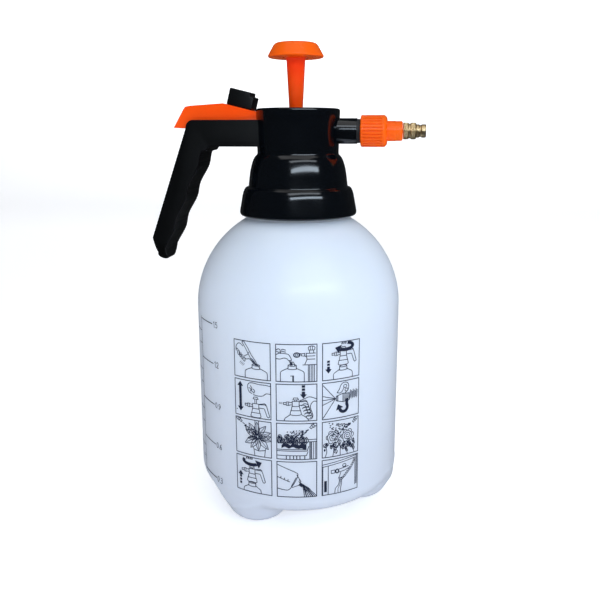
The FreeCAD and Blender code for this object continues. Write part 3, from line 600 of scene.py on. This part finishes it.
def drawFilling(c):
    # a hand tips a measure over the open neck
    c.shoulder(62, 32, 30, 0)
    c.pen((24, 90), (34, 76), (43, 60), (50, 48), (58, 40))
    c.pen((30, 92), (41, 77), (49, 62), (60, 48), (69, 32))
    c.curve((24, 90), (28, 93), (30, 92))
    c.curve((6, 66), (6, 76), (11, 84), (18, 86), (26, 80))
    c.curve((6, 66), (8, 72), (14, 66), (18, 58), (22, 52))
    for i in range(4):
        x, y = 10 + i * 5.2, 66 - i * 4.6
        c.curve((x, y), (x + 1, y - 8), (x + 5, y - 11), (x + 7, y - 6), (x + 5, y + 1))
    c.curve((30, 52), (36, 48), (44, 50), (49, 46))
    c.curve((31, 56), (39, 60), (43, 66))
    for i in range(5):
        c.pen((50 + i * 2.6, 52 - i * 3.2), (56 + i * 2.6, 47 - i * 3.2), width=0.9)
    for i in range(4):
        c.pen((51 + i * 3.2, 45 - i * 2.6), (53 + i * 3.2, 42 - i * 2.6))
    for i in range(4):
        c.pen((16 + i * 3, 36 - i * 2.0), (21 + i * 3, 41 - i * 2.0), width=0.6)


def drawWater(c):
    # tap over the open bottle, the head with its pump standing beside
    c.shoulder(40, 38, 29, 0)
    c.curve((0.8, 68), (10, 72), (22, 71), (31, 69), (37, 60), (38, 54))
    c.curve((0.8, 58), (10, 57), (20, 60), (28, 58), (31, 54))
    c.pen((31, 54), (38, 54))
    c.curve((2, 80), (7, 83), (12, 79), (17, 82), (24, 80))
    c.curve((2, 76), (8, 74), (14, 77), (24, 75))
    c.pen((12, 75), (12, 71))
    for i in range(4):
        c.pen((33.5 + i * 2.2, 53 - i), (36 + i * 1.4, 43 - i * 0.4), width=0.9)
    c.curve((36, 40), (39, 48), (42, 51), (45, 46), (46, 40))
    c.pen((41, 0.8), (41, 15), (36, 15))
    c.pen((42.5, 0.8), (42.5, 15), width=1.6)
    c.pen((70, 43), (76, 57), (95, 57))
    c.pen((76, 57), (75, 62), (72, 65), (95, 65))
    c.pen((74, 65), (74, 72), (96, 72))
    c.pen((66, 43), (98, 43))
    c.pen((70, 72), (70, 65), (62, 66), (62, 71), (70, 72))
    c.path(arc(51, 68, 7.5, 5.5, 0, 360), 1.5)
    c.path(arc(51, 68, 3.5, 2.6, 0, 360), 0.9)
    c.pen((57, 64), (57, 72), (62, 71))
    c.pen((82, 72), (82, 80), (92, 80), (92, 72))
    c.curve((80, 80), (79, 87), (87, 90), (95, 87), (94, 80))
    for x in (79, 82, 86, 90, 94):
        c.pen((x, 0.8), (x, 43), width=0.9)
    c.pen((84, 80), (84, 88), width=0.8)
    c.pen((89, 80), (89, 88), width=0.8)


def drawClosing(c):
    # head goes on and turns clockwise
    c.head(54, 38, 1.0, 5)
    c.shoulder(54, 28, 26, 0)
    c.dashedArrow(15, 50, 17)
    c.turnArrow(60, 82, 20, 9, 75, -135, 9)
    for i in range(3):
        c.pen((50 + i * 5, 89), (51 + i * 5, 93), width=1.8)


def drawPumping(c):
    # a fist works the knob up and down
    c.head(60, 4, 1.0, 12)
    c.band([(12.5, 22), (12.5, 78)], [(20, 22), (20, 78)])
    c.arrowHead(16.2, 77, 90, 12)
    c.arrowHead(16.2, 23, -90, 12)
    c.curve((99, 86), (86, 88), (70, 88), (52, 90), (41, 87), (38, 78), (42, 66), (50, 62))
    c.curve((99, 66), (88, 66), (80, 60), (66, 58), (54, 60))
    c.curve((46, 82), (50, 76), (49, 69), (54, 66))
    c.curve((42, 76), (47, 74), (46, 68))
    c.curve((53, 74), (58, 70), (55, 64))
    c.pen((4, 14), (6, 14))


def drawPressing(c):
    # a hand round the grip presses the trigger
    c.head(48, 18, 1.0, 4)
    c.curve((20, 0.8), (21, 6), (28, 12), (34, 16))
    c.curve((80, 0.8), (77, 6), (70, 12), (63, 16))
    c.dashedArrow(67, 92, 58, 8)
    c.curve((99, 56), (90, 60), (80, 62), (68, 57), (58, 53))
    c.curve((84, 8), (90, 12), (88, 22), (84, 34), (86, 44), (92, 50), (99, 50))
    for i in range(5):
        y = 40 - i * 7.4
        x = 62 + i * 2.6
        c.curve((x, y), (x + 8, y + 5), (x + 17, y + 1), (x + 14, y - 5), (x + 4, y - 5))
    for i in range(3):
        c.pen((8 + i * 3, 44), (8 + i * 3, 48), width=0.7)


def drawAdjusting(c):
    # fingers turn the nozzle; the spray opens from a jet to a cone
    for end in ((2, 88), (2, 60), (2, 50), (2, 38), (2, 4)):
        c.pen((34, 51), end)
    c.pen((36, 46), (36, 56), (40, 58), (40, 44), (36, 46), width=1.3)
    c.pen((40, 58), (54, 62), (54, 40), (40, 44))
    c.pen((54, 62), (72, 60), (72, 42), (54, 40))
    for i in range(5):
        c.pen((57 + i * 3, 61), (57 + i * 3, 41), width=0.8)
    c.curve((38, 66), (44, 74), (48, 84), (56, 90), (66, 88), (70, 80), (68, 70), (60, 62))
    c.curve((38, 66), (46, 64), (52, 68), (56, 76))
    c.path(arc(60, 80, 4.5, 4, 0, 360))
    c.path(arc(64, 70, 4.5, 4, 0, 360))
    for i in range(11):
        c.pen((73 + i * 2.2, 44 + (i % 3) * 2), (75 + i * 2.1, 68 - (i % 4) * 2), width=0.75)
    c.turnArrow(56, 26, 11, 12, 25, -165, 8)
    c.band([(61, 30), (61, 47)], [(69, 30), (69, 47)])


def drawPot(c):
    # spray over a pot plant
    c.sprayTip(18, 84, -38, 0.9)
    c.drops(21, 82, 60, 50, 18, 60, 3)
    for x0, y0, x1, y1 in ((62, 50, 30, 66), (62, 50, 28, 30), (64, 48, 44, 20), (64, 48, 66, 16),
                           (66, 50, 92, 22), (66, 52, 99, 44), (66, 54, 98, 66), (64, 56, 86, 82),
                           (60, 54, 40, 84), (62, 56, 62, 90), (60, 48, 36, 44), (70, 46, 99, 56)):
        c.leaf(x0, y0, x1, y1, 0.2)
    c.path(arc(62, 52, 6, 7, 0, 360), 1.2)
    c.pen((58, 56), (57, 93), width=1.1)
    c.pen((66, 56), (67, 93), width=1.1)
    c.pen((53, 18), (55, 0.8))
    c.pen((84, 18), (82, 0.8))
    c.pen((50, 22), (53, 18), (66, 14), (84, 18), (86, 24))


def drawBox(c):
    # spray over a planted trough by a railing
    c.sprayTip(84, 82, -140, 0.9)
    c.drops(80, 78, 30, 54, 22, 84, 7)
    draw = np.random.default_rng(5)
    for i in range(17):
        x = 4 + i * 4.4
        y = 46 + 9 * draw.random()
        c.leaf(x, 42, x + 9 * (draw.random() - 0.5), y + 8, 0.3)
    for i in range(4):
        c.path(arc(8 + i * 8, 60 - (i % 2) * 12, 4.2, 4.6, 0, 360))
        c.path(arc(8 + i * 8, 60 - (i % 2) * 12, 1.6, 1.8, 0, 360))
    x = np.linspace(12, 74, 24)
    c.band(np.stack([x, 38 + 4.5 * np.sin(x * 0.42) * np.sin(x * 0.13) + 3], -1),
           np.stack([x, 31 + 2.4 * np.cos(x * 0.31) - (x > 54) * 3.5], -1))
    c.pen((2, 22), (76, 22), (80, 34))
    c.pen((2, 26), (74, 26))
    c.pen((2, 10), (74, 10), (78, 20))
    for x in (24, 33, 42, 50, 58, 70):
        c.pen((x, 1), (x, 9), width=1.3)
    c.pen((74, 46), (99, 46))
    c.pen((74, 52), (99, 52))
    for x in (83, 86.5):
        c.pen((x, 1), (x, 46), width=1.4)
    for x in (92, 97):
        c.pen((x, 1), (x, 46), width=0.8)


def drawRoses(c):
    # spray over two roses
    c.sprayTip(84, 82, -135, 0.8)
    c.drops(80, 80, 24, 66, 26, 90, 11)
    for cx, cy, size in ((29, 52, 16), (68, 50, 15)):
        a = np.linspace(0, 5.2 * np.pi, 70)
        r = size * (0.10 + 0.90 * a / a[-1]) * (1 + 0.06 * np.sin(5 * a))
        c.path(np.stack([cx + r * np.cos(a), cy + r * np.sin(a) * 0.92], -1))
        for turn in range(0, 360, 60):
            t = math.radians(turn)
            px, py = cx + size * 0.82 * math.cos(t), cy + size * 0.76 * math.sin(t)
            c.path(arc(px, py, 6, 6, turn - 80, turn + 80, 8))
    draw = np.random.default_rng(9)
    for i in range(34):
        x, y = 4 + 90 * draw.random(), 6 + 26 * draw.random()
        c.leaf(x, y, x + 13 * (draw.random() - 0.5), y + 5 + 7 * draw.random(), 0.34)
    for i in range(5):
        c.curve((8 + i * 20, 2), (12 + i * 18, 14), (10 + i * 20, 26))


def drawOpening(c):
    # head turns back and lifts off
    c.head(46, 30, 1.0, 3)
    c.shoulder(46, 22, 25, 0)
    c.turnArrow(43, 83, 21, 9, 150, 325, 9)
    for i in range(4):
        c.pen((31 + i * 5, 89), (32 + i * 5, 93), width=1.8)
    c.dashedArrow(12, 16, 52, 6)


def drawEmptying(c):
    # the tipped bottle pours out
    c.pen((2, 86), (16, 80), (44, 68))
    c.curve((44, 68), (52, 63), (52, 56), (47, 44), (40, 32), (34, 24))
    c.curve((34, 24), (28, 19), (18, 19), (2, 22))
    c.pen((50, 60), (60, 42), (55, 32), (38, 26))
    c.pen((60, 42), (56, 46), width=0.8)
    c.curve((48, 52), (42, 40), (36, 29))
    for i in range(3):
        c.pen((2 + i * 10, 53 - i * 4), (12 + i * 10, 49 - i * 4))
        c.pen((9 + i * 9, 50 - i * 4), (10 + i * 9, 55 - i * 4))
    for i in range(7):
        x = 55 + i * 1.6
        c.curve((x, 42 - i * 1.4), (x + 9 + i, 30 - i), (x + 12 + i * 1.6, 16), (x + 14 + i * 3.6, 1.5),
                width=1.0 + 0.5 * (i % 3 == 1))
    c.band([(58, 38), (66, 31)], [(54, 33), (62, 26)])
    c.band([(70, 26), (76, 16)], [(66, 22), (71, 13)])


def drawStoring(c):
    # sprayer on a hook by a shelf, out of the frost
    c.pen((2, 82), (96, 92))
    c.pen((2, 76), (92, 86))
    c.pen((16, 1), (16, 77))
    c.pen((2, 1), (2, 77), width=0.8)
    c.band([(5.5, 8), (5.5, 38)], [(12.5, 8), (12.5, 38)])
    c.pen((96, 92), (96, 14), width=1.6)
    c.pen((92, 86), (92, 12))
    c.curve((92, 84), (84, 66), (70, 50), (60, 40), (50, 34))
    c.curve((88, 84), (80, 66), (67, 52), (56, 42), (49, 37), width=0.9)
    for i in range(9):
        c.pen((86 - i * 3.8, 79 - i * 4.6), (89 - i * 3.8, 77 - i * 4.6), width=0.8)
    c.pen((24, 56), (34, 56), (34, 64), (24, 64), (24, 56))
    c.path(arc(40, 60, 4, 5, 0, 360), 1.8)
    c.pen((44, 56), (60, 58), (74, 62))
    c.pen((44, 64), (60, 66), (72, 68))
    c.path(arc(60, 72, 5, 4, 0, 360))
    c.pen((57, 70), (57, 66))
    c.pen((63, 70), (63, 66))
    c.curve((44, 40), (48, 48), (50, 54))
    c.pen((46, 40), (54, 41), (54, 35), (46, 34), (46, 40))
    c.curve((47, 34), (44, 22), (36, 14), (34, 2))
    c.curve((53, 34), (52, 22), (50, 12), (50, 2))
    c.curve((50, 34), (48, 22), (43, 12), (43, 2), width=0.8)


def straight(*points):
    return np.array(points, float)


# figures on cells 4 wide and 8 high
digits = {"0": [arc(2, 4, 2, 4, 0, 360)],
          "1": [flow((1, 6.4), (2.6, 8)), straight((2.6, 8), (2.6, 0))],
          "2": [flow((0, 6), (1, 8), (3.4, 7.6), (3.6, 5.4), (0, 0.1)), straight((0, 0), (4, 0))],
          "3": [flow((0, 7.4), (2, 8), (3.6, 6.2), (1.6, 4.4)), flow((1.6, 4.4), (4, 2.6), (2.6, 0), (0, 0.6))],
          "5": [straight((3.6, 8), (0.5, 8), (0.2, 4.6)),
                flow((0.2, 4.6), (2.6, 5), (4, 2.6), (2.4, 0), (0, 0.6))],
          "6": [flow((3.4, 8), (1, 5.4), (0, 2.6), (2, 0), (4, 2.2), (2.4, 4.4), (0.2, 3))],
          "9": [flow((0.6, 0), (3, 2.6), (4, 5.4), (2, 8), (0, 5.8), (1.6, 3.6), (3.8, 5))],
          ".": [straight((1.2, 0), (1.2, 0.5))]}
scale = {"line": -148.0, "ticks": -133.5, "small": -156.5, "figure": 0.42,
         "pens": {"line": 0.5, "mark": 0.6, "figure": 0.42, "between": 0.45},
         "marks": ((125.6, "1.5"), (100.8, "1.2"), (74.8, "0.9"), (48.9, "0.6"), (26.7, "0.3"))}


def drawScale():
    # litre marks: a long line, long ticks with their numbers, short ticks between
    at = {key: math.radians(scale[key]) * bottle["radius"] for key in ("line", "ticks", "small")}
    heights = [z for z, _ in scale["marks"]]
    pens = scale["pens"]
    strokes.append((straight((at["line"], heights[-1] - 4), (at["line"], heights[0] + 1)), pens["line"]))
    for z, number in scale["marks"]:
        strokes.append((straight((at["line"], z), (at["ticks"], z)), pens["mark"]))
        x = at["ticks"] + 1.2
        for sign in number:
            for shape in digits[sign]:
                strokes.append((shape * scale["figure"] + (x, z - 1.7), pens["figure"]))
            x += 1.3 if sign in ".1" else 2.2
    for high, low in zip(heights[:-1], heights[1:]):
        for i in (1, 2):
            z = high + (low - high) * i / 3
            end = at["small"] if i == 1 else at["line"] - 5
            strokes.append((straight((at["line"], z), (end, z)), pens["between"]))


def resampled(points, step):
    # points at equal steps along a polyline
    gaps = np.hypot(*np.diff(points, axis=0).T)
    along = np.concatenate([[0], np.cumsum(gaps)])
    count = max(2, int(math.ceil(along[-1] / step)) + 1)
    at = np.linspace(0, along[-1], count)
    return np.stack([np.interp(at, along, points[:, 0]), np.interp(at, along, points[:, 1])], -1)


def inkOn(name):
    # every stroke becomes a flat ribbon on the wall, every pair of curves a filled strip
    points, faces, count = [], [], 0
    for line, width in strokes:
        line = line[np.concatenate([[True], np.hypot(*np.diff(line, axis=0).T) > 1e-4])]
        if len(line) < 2:
            continue
        corners = len(line) <= 6
        if corners:
            runs = [resampled(line[i:i + 2], 1.4) for i in range(len(line) - 1)]
        else:
            runs = [resampled(line, 0.55)]
        for run in runs:
            way = np.gradient(run, axis=0)
            way /= np.hypot(*way.T)[:, None] + 1e-12
            side = np.stack([-way[:, 1], way[:, 0]], -1) * width / 2
            run[0] -= way[0] * width * 0.4
            run[-1] += way[-1] * width * 0.4
            strip = np.stack([run + side, run - side], 1).reshape(-1, 2)
            points.append(strip)
            n = np.arange(len(run) - 1) * 2 + count
            faces.append(np.stack([n, n + 1, n + 3, n + 2], -1))
            count += len(strip)
    for one, other in bands:
        steps = 2 + int(max(np.ptp(one, axis=0).max(), 1) / 0.9)
        t = np.linspace(0, 1, steps)
        grid = [np.stack([np.interp(t, np.linspace(0, 1, len(edge)), edge[:, k]) for k in (0, 1)], -1)
                for edge in (one, other)]
        across = 4
        rows = np.stack([grid[0] + (grid[1] - grid[0]) * i / across for i in range(across + 1)])
        points.append(rows.reshape(-1, 2))
        faces.append(gridFaces(across + 1, steps, False) + count)
        count += rows.shape[0] * rows.shape[1]
    flat = np.concatenate(points)
    faces = np.concatenate(faces)
    solid = wallPoints(flat[:, 0], flat[:, 1], label["lift"])
    # every face is turned to look away from the axis
    corner = solid[faces]
    normal = np.cross(corner[:, 1] - corner[:, 0], corner[:, 2] - corner[:, 0])
    inward = (normal * corner.mean(1) * (1, 1, 0)).sum(1) < 0
    faces[inward] = faces[inward][:, ::-1]
    return place(name, solid, [tuple(f) for f in faces.tolist()], "bottle", "handle", ink)


pictures = ((drawFilling, drawWater, drawClosing), (drawPumping, drawPressing, drawAdjusting),
            (drawPot, drawBox, drawRoses), (drawOpening, drawEmptying, drawStoring))
for row, line in enumerate(pictures):
    for column, draw in enumerate(line):
        cell = Cell(row, column)
        cell.frame()
        draw(cell)
drawScale()
inkOn("bottlePrint")
print("printed pictures are ready")


head = {"collarFoot": 186.4, "collar": 37.3, "collarTop": 203.8, "bellTop": 222.5, "top": 252.6, "turns": 200,
        "softEdges": (("handle", 1.4, 4, None, 40), ("trigger_lever", 0.7, 3, leverOrange, 38),
                      ("lock_button", 0.7, 3, buttonBlack, 38), ("valve_body", 0.4, 2, None, 38))}


def makeHead():
    # the shell's outline turned about the axis, each corner rounded, the rim turned in to the pump cap
    h = head
    collar, top = h["collar"], h["collarTop"]
    foot, bell, rim = h["collarFoot"], h["bellTop"], h["top"]
    corners = [(32.0, foot + 3.0), (33.2, foot), (collar - 1.0, foot), (collar, foot + 1.6),
               (collar - 2.2, foot + 14.0), (33.8, top - 0.5), (33.0, top + 0.1), (31.5, top + 0.4),
               (30.3, bell - 8), (28.5, bell - 1.5), (27.0, bell + 0.8), (25.6, bell + 2.0),
               (26.4, rim - 0.9), (25.6, rim - 0.02), (24.0, rim - 0.02), (23.4, rim - 0.8),
               (11.8, rim - 0.8), (11.8, rim - 4.4)]
    radii = (0.8, 0.8, 1.4, 2.4, 1.2, 0.5, 0.8, 3.1, 3.0, 1.0, 1.2, 1.0, 0.8, 0.5, 0.4, 0.4)
    grid = latheUp(rounded(corners, radii, 7), turns=h["turns"])
    turned("headShell", grid, "head", "head", finishes["head"], ("head_shell",), 40)


makeHead()
for edges in head["softEdges"]:
    softened(*edges)
print("head and handle are ready")


nozzle = {"height": float(mid("brass_tip")[2]), "nut": 9.8, "nutStart": 39.5, "nutEnd": 55.8, "ribs": 28,
          "depth": 0.75, "turns": 128, "knurls": 40, "knurlDepth": 0.16, "collar": 5.1,
          "bands": ((65.9, 68.4), (70.4, 72.8))}


def makeNut():
    # ribs: narrow grooves that fade out before both ends
    n = nozzle

    def ribs(angle, x):
        fade = np.clip((x - n["nutStart"] - 0.9) / 0.7, 0, 1) * np.clip((n["nutEnd"] - 2.6 - x) / 1.0, 0, 1)
        groove = np.clip((np.cos(angle * n["ribs"]) - 0.25) / 0.55, 0, 1)
        return -n["depth"] * fade * groove * groove * (3 - 2 * groove)

    x = np.linspace(n["nutStart"] + 1.0, n["nutEnd"] - 2.6, 24)
    wall = np.stack([np.full_like(x, n["nut"]), x], -1)
    front = rounded([(n["nut"], n["nutEnd"] - 2.4), (n["nut"], n["nutEnd"] - 1.6), (8.2, n["nutEnd"]),
                     (6.4, n["nutEnd"]), (6.4, n["nutEnd"] - 3)], (0.8, 1.2, 0.3), 6)
    back = rounded([(6.6, n["nutStart"] + 4), (6.6, n["nutStart"]), (n["nut"] - 0.4, n["nutStart"]),
                    (n["nut"], n["nutStart"] + 0.8)], (0.3, 0.6), 6)
    grid = latheAlong(np.concatenate([back, wall, front]), n["height"], n["ribs"] * 16, ribs)
    turned("unionNut", grid, nodeBody("nozzle_nut"), "orange", finishes["orange"], ("nozzle_nut",), 50)


def makeNozzle():
    # hub, then the brass: two knurled bands, a waist and the plain tip with its orifice, as (radius, x)
    n = nozzle
    hub = rounded([(2.6, 48.4), (7.3, 48.4), (7.3, 52.2), (6.2, 52.2), (6.2, 60.6), (6.05, 61.0),
                   (6.05, 64.6), (5.5, 65.2), (3.7, 65.2), (3.7, 60)],
                  (0.2, 0.2, 0.2, 0.4, 0.2, 0.5, 0.4, 0.2), 5)
    turned("nozzleHub", latheAlong(hub, n["height"], n["turns"]), nodeBody("nozzle_body"), "orange",
           finishes["orange"], ("nozzle_body",), 40)

    def knurl(angle, x):
        held = sum((x > low) & (x < high) for low, high in n["bands"])
        return -n["knurlDepth"] * held * np.clip(np.cos(angle * n["knurls"]), 0, 1)

    r = n["collar"]
    base = rounded([(0.6, 65.3), (r - 0.5, 65.3), (r, 65.8), (r, 68.5), (4.5, 68.9), (4.5, 69.9), (r, 70.2),
                    (r, 72.9), (r - 0.5, 73.45), (2.3, 73.45)],
                   (0.2, 0.3, 0.3, 0.2, 0.2, 0.2, 0.3, 0.2), 4)
    fine = [np.stack([np.full(8, r), np.linspace(low + 0.05, high - 0.05, 8)], -1) for low, high in n["bands"]]
    (_, firstEnd), (secondStart, secondEnd) = n["bands"]
    waist = base[(base[:, 1] > firstEnd - 0.04) & (base[:, 1] < secondStart + 0.04)]
    profile = np.concatenate([base[base[:, 1] < n["bands"][0][0] + 0.05], fine[0], waist, fine[1],
                              base[base[:, 1] > secondEnd - 0.04]])
    turned("brassCollar", latheAlong(profile, n["height"], n["knurls"] * 8, knurl), nodeBody("brass_nozzle"),
           "brass", finishes["brass"], ("brass_nozzle",), 40)
    tip = rounded([(2.3, 73.5), (4.06, 73.5), (4.06, 75.1), (3.56, 75.5), (3.56, 76.3), (4.06, 76.7),
                   (4.06, 79.0), (3.66, 79.38), (1.9, 79.38), (0.5, 78.4), (0.5, 77.5), (0.02, 77.4)],
                  (0.2, 0.3, 0.2, 0.2, 0.3, 0.3, 0.3, 0.4, 0.2, 0.1), 4)
    turned("brassTip", latheAlong(tip, n["height"], n["turns"]), nodeBody("brass_tip"), "brass",
           finishes["brass"], ("brass_tip",), 40)


makeNut()
makeNozzle()
print("nozzle is ready")


plunger = {"knobTurns": 160, "stemTurns": 96,
           "stem": ((4.3, None), (5.9, -9.4), (7.2, -8.9)),                    # radius, height under the top
           "knob": ((7.2, -8.9), (14.8, -8.7), (16.9, -8.8), (17.4, -7.9), (13.5, -0.9), (11.8, -0.02),
                    (0.01, -0.02))}


def makeKnob():
    # a stem that widens upwards and a crowned knob with a flat underside, turned about the plunger's axis
    p = plunger
    x = float(mid("pump_knob")[0])
    foot, top = (float(corner[2]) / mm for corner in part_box("pump_knob"))
    stem = [(0.01, foot)] + [(r, foot if down is None else top + down) for r, down in p["stem"]]
    knob = [(r, top + down) for r, down in p["knob"]]
    turned("plungerKnob", latheUp(rounded(knob, (1.0, 0.5, 0.7, 1.6, 2.0), 8), (x, 0), p["knobTurns"]),
           "plunger", "orange", finishes["orange"], ("pump_knob",), 40)
    turned("plungerStem", latheUp(rounded(stem, (0.1, 1.2), 6), (x, 0), p["stemTurns"]),
           "plunger", "orange", stemPaintedShadeOrange, (), 40)


makeKnob()
print("plunger is ready")


studio = {"floor": rgb(0.90, 0.90, 0.91), "reach": 3.0, "bend": 0.6, "back": 1.1, "wall": 2.6, "glow": 0.36,
          "room": 0.33, "mirrored": 0.03, "seen": 0.72}


def makeFloor():
    # a sweep: flat in front, bending up behind along a quarter circle
    s = studio
    t = np.linspace(0, math.pi / 2, 24)
    depth = np.concatenate([[-s["reach"]], s["back"] + s["bend"] * np.sin(t), [s["back"] + s["bend"]]])
    height = np.concatenate([[0.0], s["bend"] * (1 - np.cos(t)), [s["wall"]]])
    x = np.array([-s["reach"], s["reach"]])
    grid = np.stack([np.broadcast_to(x, (len(depth), 2)), np.broadcast_to(depth[:, None], (len(depth), 2)),
                     np.broadcast_to(height[:, None], (len(depth), 2)) - 0.0002], -1)
    data = bpy.data.meshes.new("floor")
    data.from_pydata(grid.reshape(-1, 3).tolist(), [], gridFaces(len(depth), 2, False).tolist())
    floor = bpy.data.objects.new("floor", data)
    bpy.context.collection.objects.link(floor)
    for face in data.polygons:
        face.use_smooth = True
    paint = Paint("palePaper", Roughness=0.85)
    paint.shader.inputs["Base Color"].default_value = s["floor"]
    paint.shader.inputs["Specular IOR Level"].default_value = 0.1
    paint.shader.inputs["Emission Color"].default_value = rgb(1.0, 1.0, 1.0)
    paint.shader.inputs["Emission Strength"].default_value = s["glow"]
    data.materials.append(paint.material)
    floor.visible_glossy = False


# azimuth and rise in degrees, far, wide and tall in metres, power in watts
lamps = {
    "keyPanel": {"at": (-66, 49), "far": 1.1, "wide": 1.15, "tall": 0.22, "power": 2.4, "mirrored": True,
                 "tint": (0.84, 0.92, 1.0)},
    "windowPanel": {"at": (-64, 27), "far": 1.1, "wide": 1.3, "tall": 0.15, "power": 5.6, "mirrored": True,
                    "tint": (0.74, 0.87, 1.0)},
    "topPanel": {"at": (-95, 84), "far": 1.2, "wide": 1.2, "tall": 0.9, "power": 2.6, "mirrored": True},
    "frontPanel": {"at": (-85, 12), "far": 1.5, "wide": 1.0, "tall": 0.8, "power": 0.7, "mirrored": False},
    "leftPanel": {"at": (-170, 15), "far": 1.3, "wide": 0.7, "tall": 1.2, "power": 0.8, "mirrored": False},
    "rightPanel": {"at": (-5, 15), "far": 1.3, "wide": 0.7, "tall": 1.2, "power": 1.0, "mirrored": False},
    "backWash": {"at": (90, 42), "far": 0.9, "wide": 2.4, "tall": 0.5, "power": 20.0, "mirrored": False},
}


def makeLights():
    # panels on rays from the sprayer's middle, then a world that mirrors dimmer than it lights
    centre = np.array([0.0, 0.0, 0.15])
    for name, lamp in lamps.items():
        a, e = np.radians(lamp["at"])
        back = np.array([math.cos(a) * math.cos(e), math.sin(a) * math.cos(e), math.sin(e)])
        data = bpy.data.lights.new(name, "AREA")
        data.color = lamp.get("tint", (1.0, 1.0, 1.0))
        data.shape, data.energy = "RECTANGLE", lamp["power"]
        data.size, data.size_y = lamp["wide"], lamp["tall"]
        light = bpy.data.objects.new(name, data)
        bpy.context.collection.objects.link(light)
        light.location = centre + back * lamp["far"]
        light.rotation_mode = "QUATERNION"
        aim = back if name == "backWash" else -back     # the wash lights the sweep behind, not the sprayer
        light.rotation_quaternion = Vector(tuple(aim)).to_track_quat("-Z", "Y")
        light.visible_glossy = lamp["mirrored"]
    world = bpy.data.worlds.new("room")
    bpy.context.scene.world = world
    world.use_nodes = True
    tree = world.node_tree
    path = tree.nodes.new("ShaderNodeLightPath")
    mirrored, seen = tree.nodes.new("ShaderNodeMix"), tree.nodes.new("ShaderNodeMix")
    mirrored.inputs[2].default_value, mirrored.inputs[3].default_value = studio["room"], studio["mirrored"]
    seen.inputs[3].default_value = studio["seen"]
    tree.links.new(path.outputs["Is Glossy Ray"], mirrored.inputs[0])
    tree.links.new(path.outputs["Is Camera Ray"], seen.inputs[0])
    tree.links.new(mirrored.outputs[0], seen.inputs[2])
    tree.links.new(seen.outputs[0], tree.nodes["Background"].inputs["Strength"])
    tree.nodes["Background"].inputs["Color"].default_value = rgb(0.90, 0.94, 1.0)


lens = {"place": (0.0665, -0.4143, 0.2383), "turn": 7.74, "tip": 9.33, "focal": 39.5,
        "shift": (-0.0235, -0.10)}


def makeCamera():
    data = bpy.data.cameras.new("camera")
    camera = bpy.data.objects.new("camera", data)
    bpy.context.collection.objects.link(camera)
    data.lens, data.sensor_width = lens["focal"], 36.0
    data.shift_x, data.shift_y = lens["shift"]
    data.clip_start, data.clip_end = 0.01, 20.0
    camera.location = lens["place"]
    camera.rotation_euler = (math.radians(90 - lens["tip"]), 0, math.radians(lens["turn"]))
    bpy.context.scene.camera = camera


makeFloor()
makeLights()
makeCamera()
bpy.context.scene.view_settings.view_transform = "Standard"
print("studio is ready")
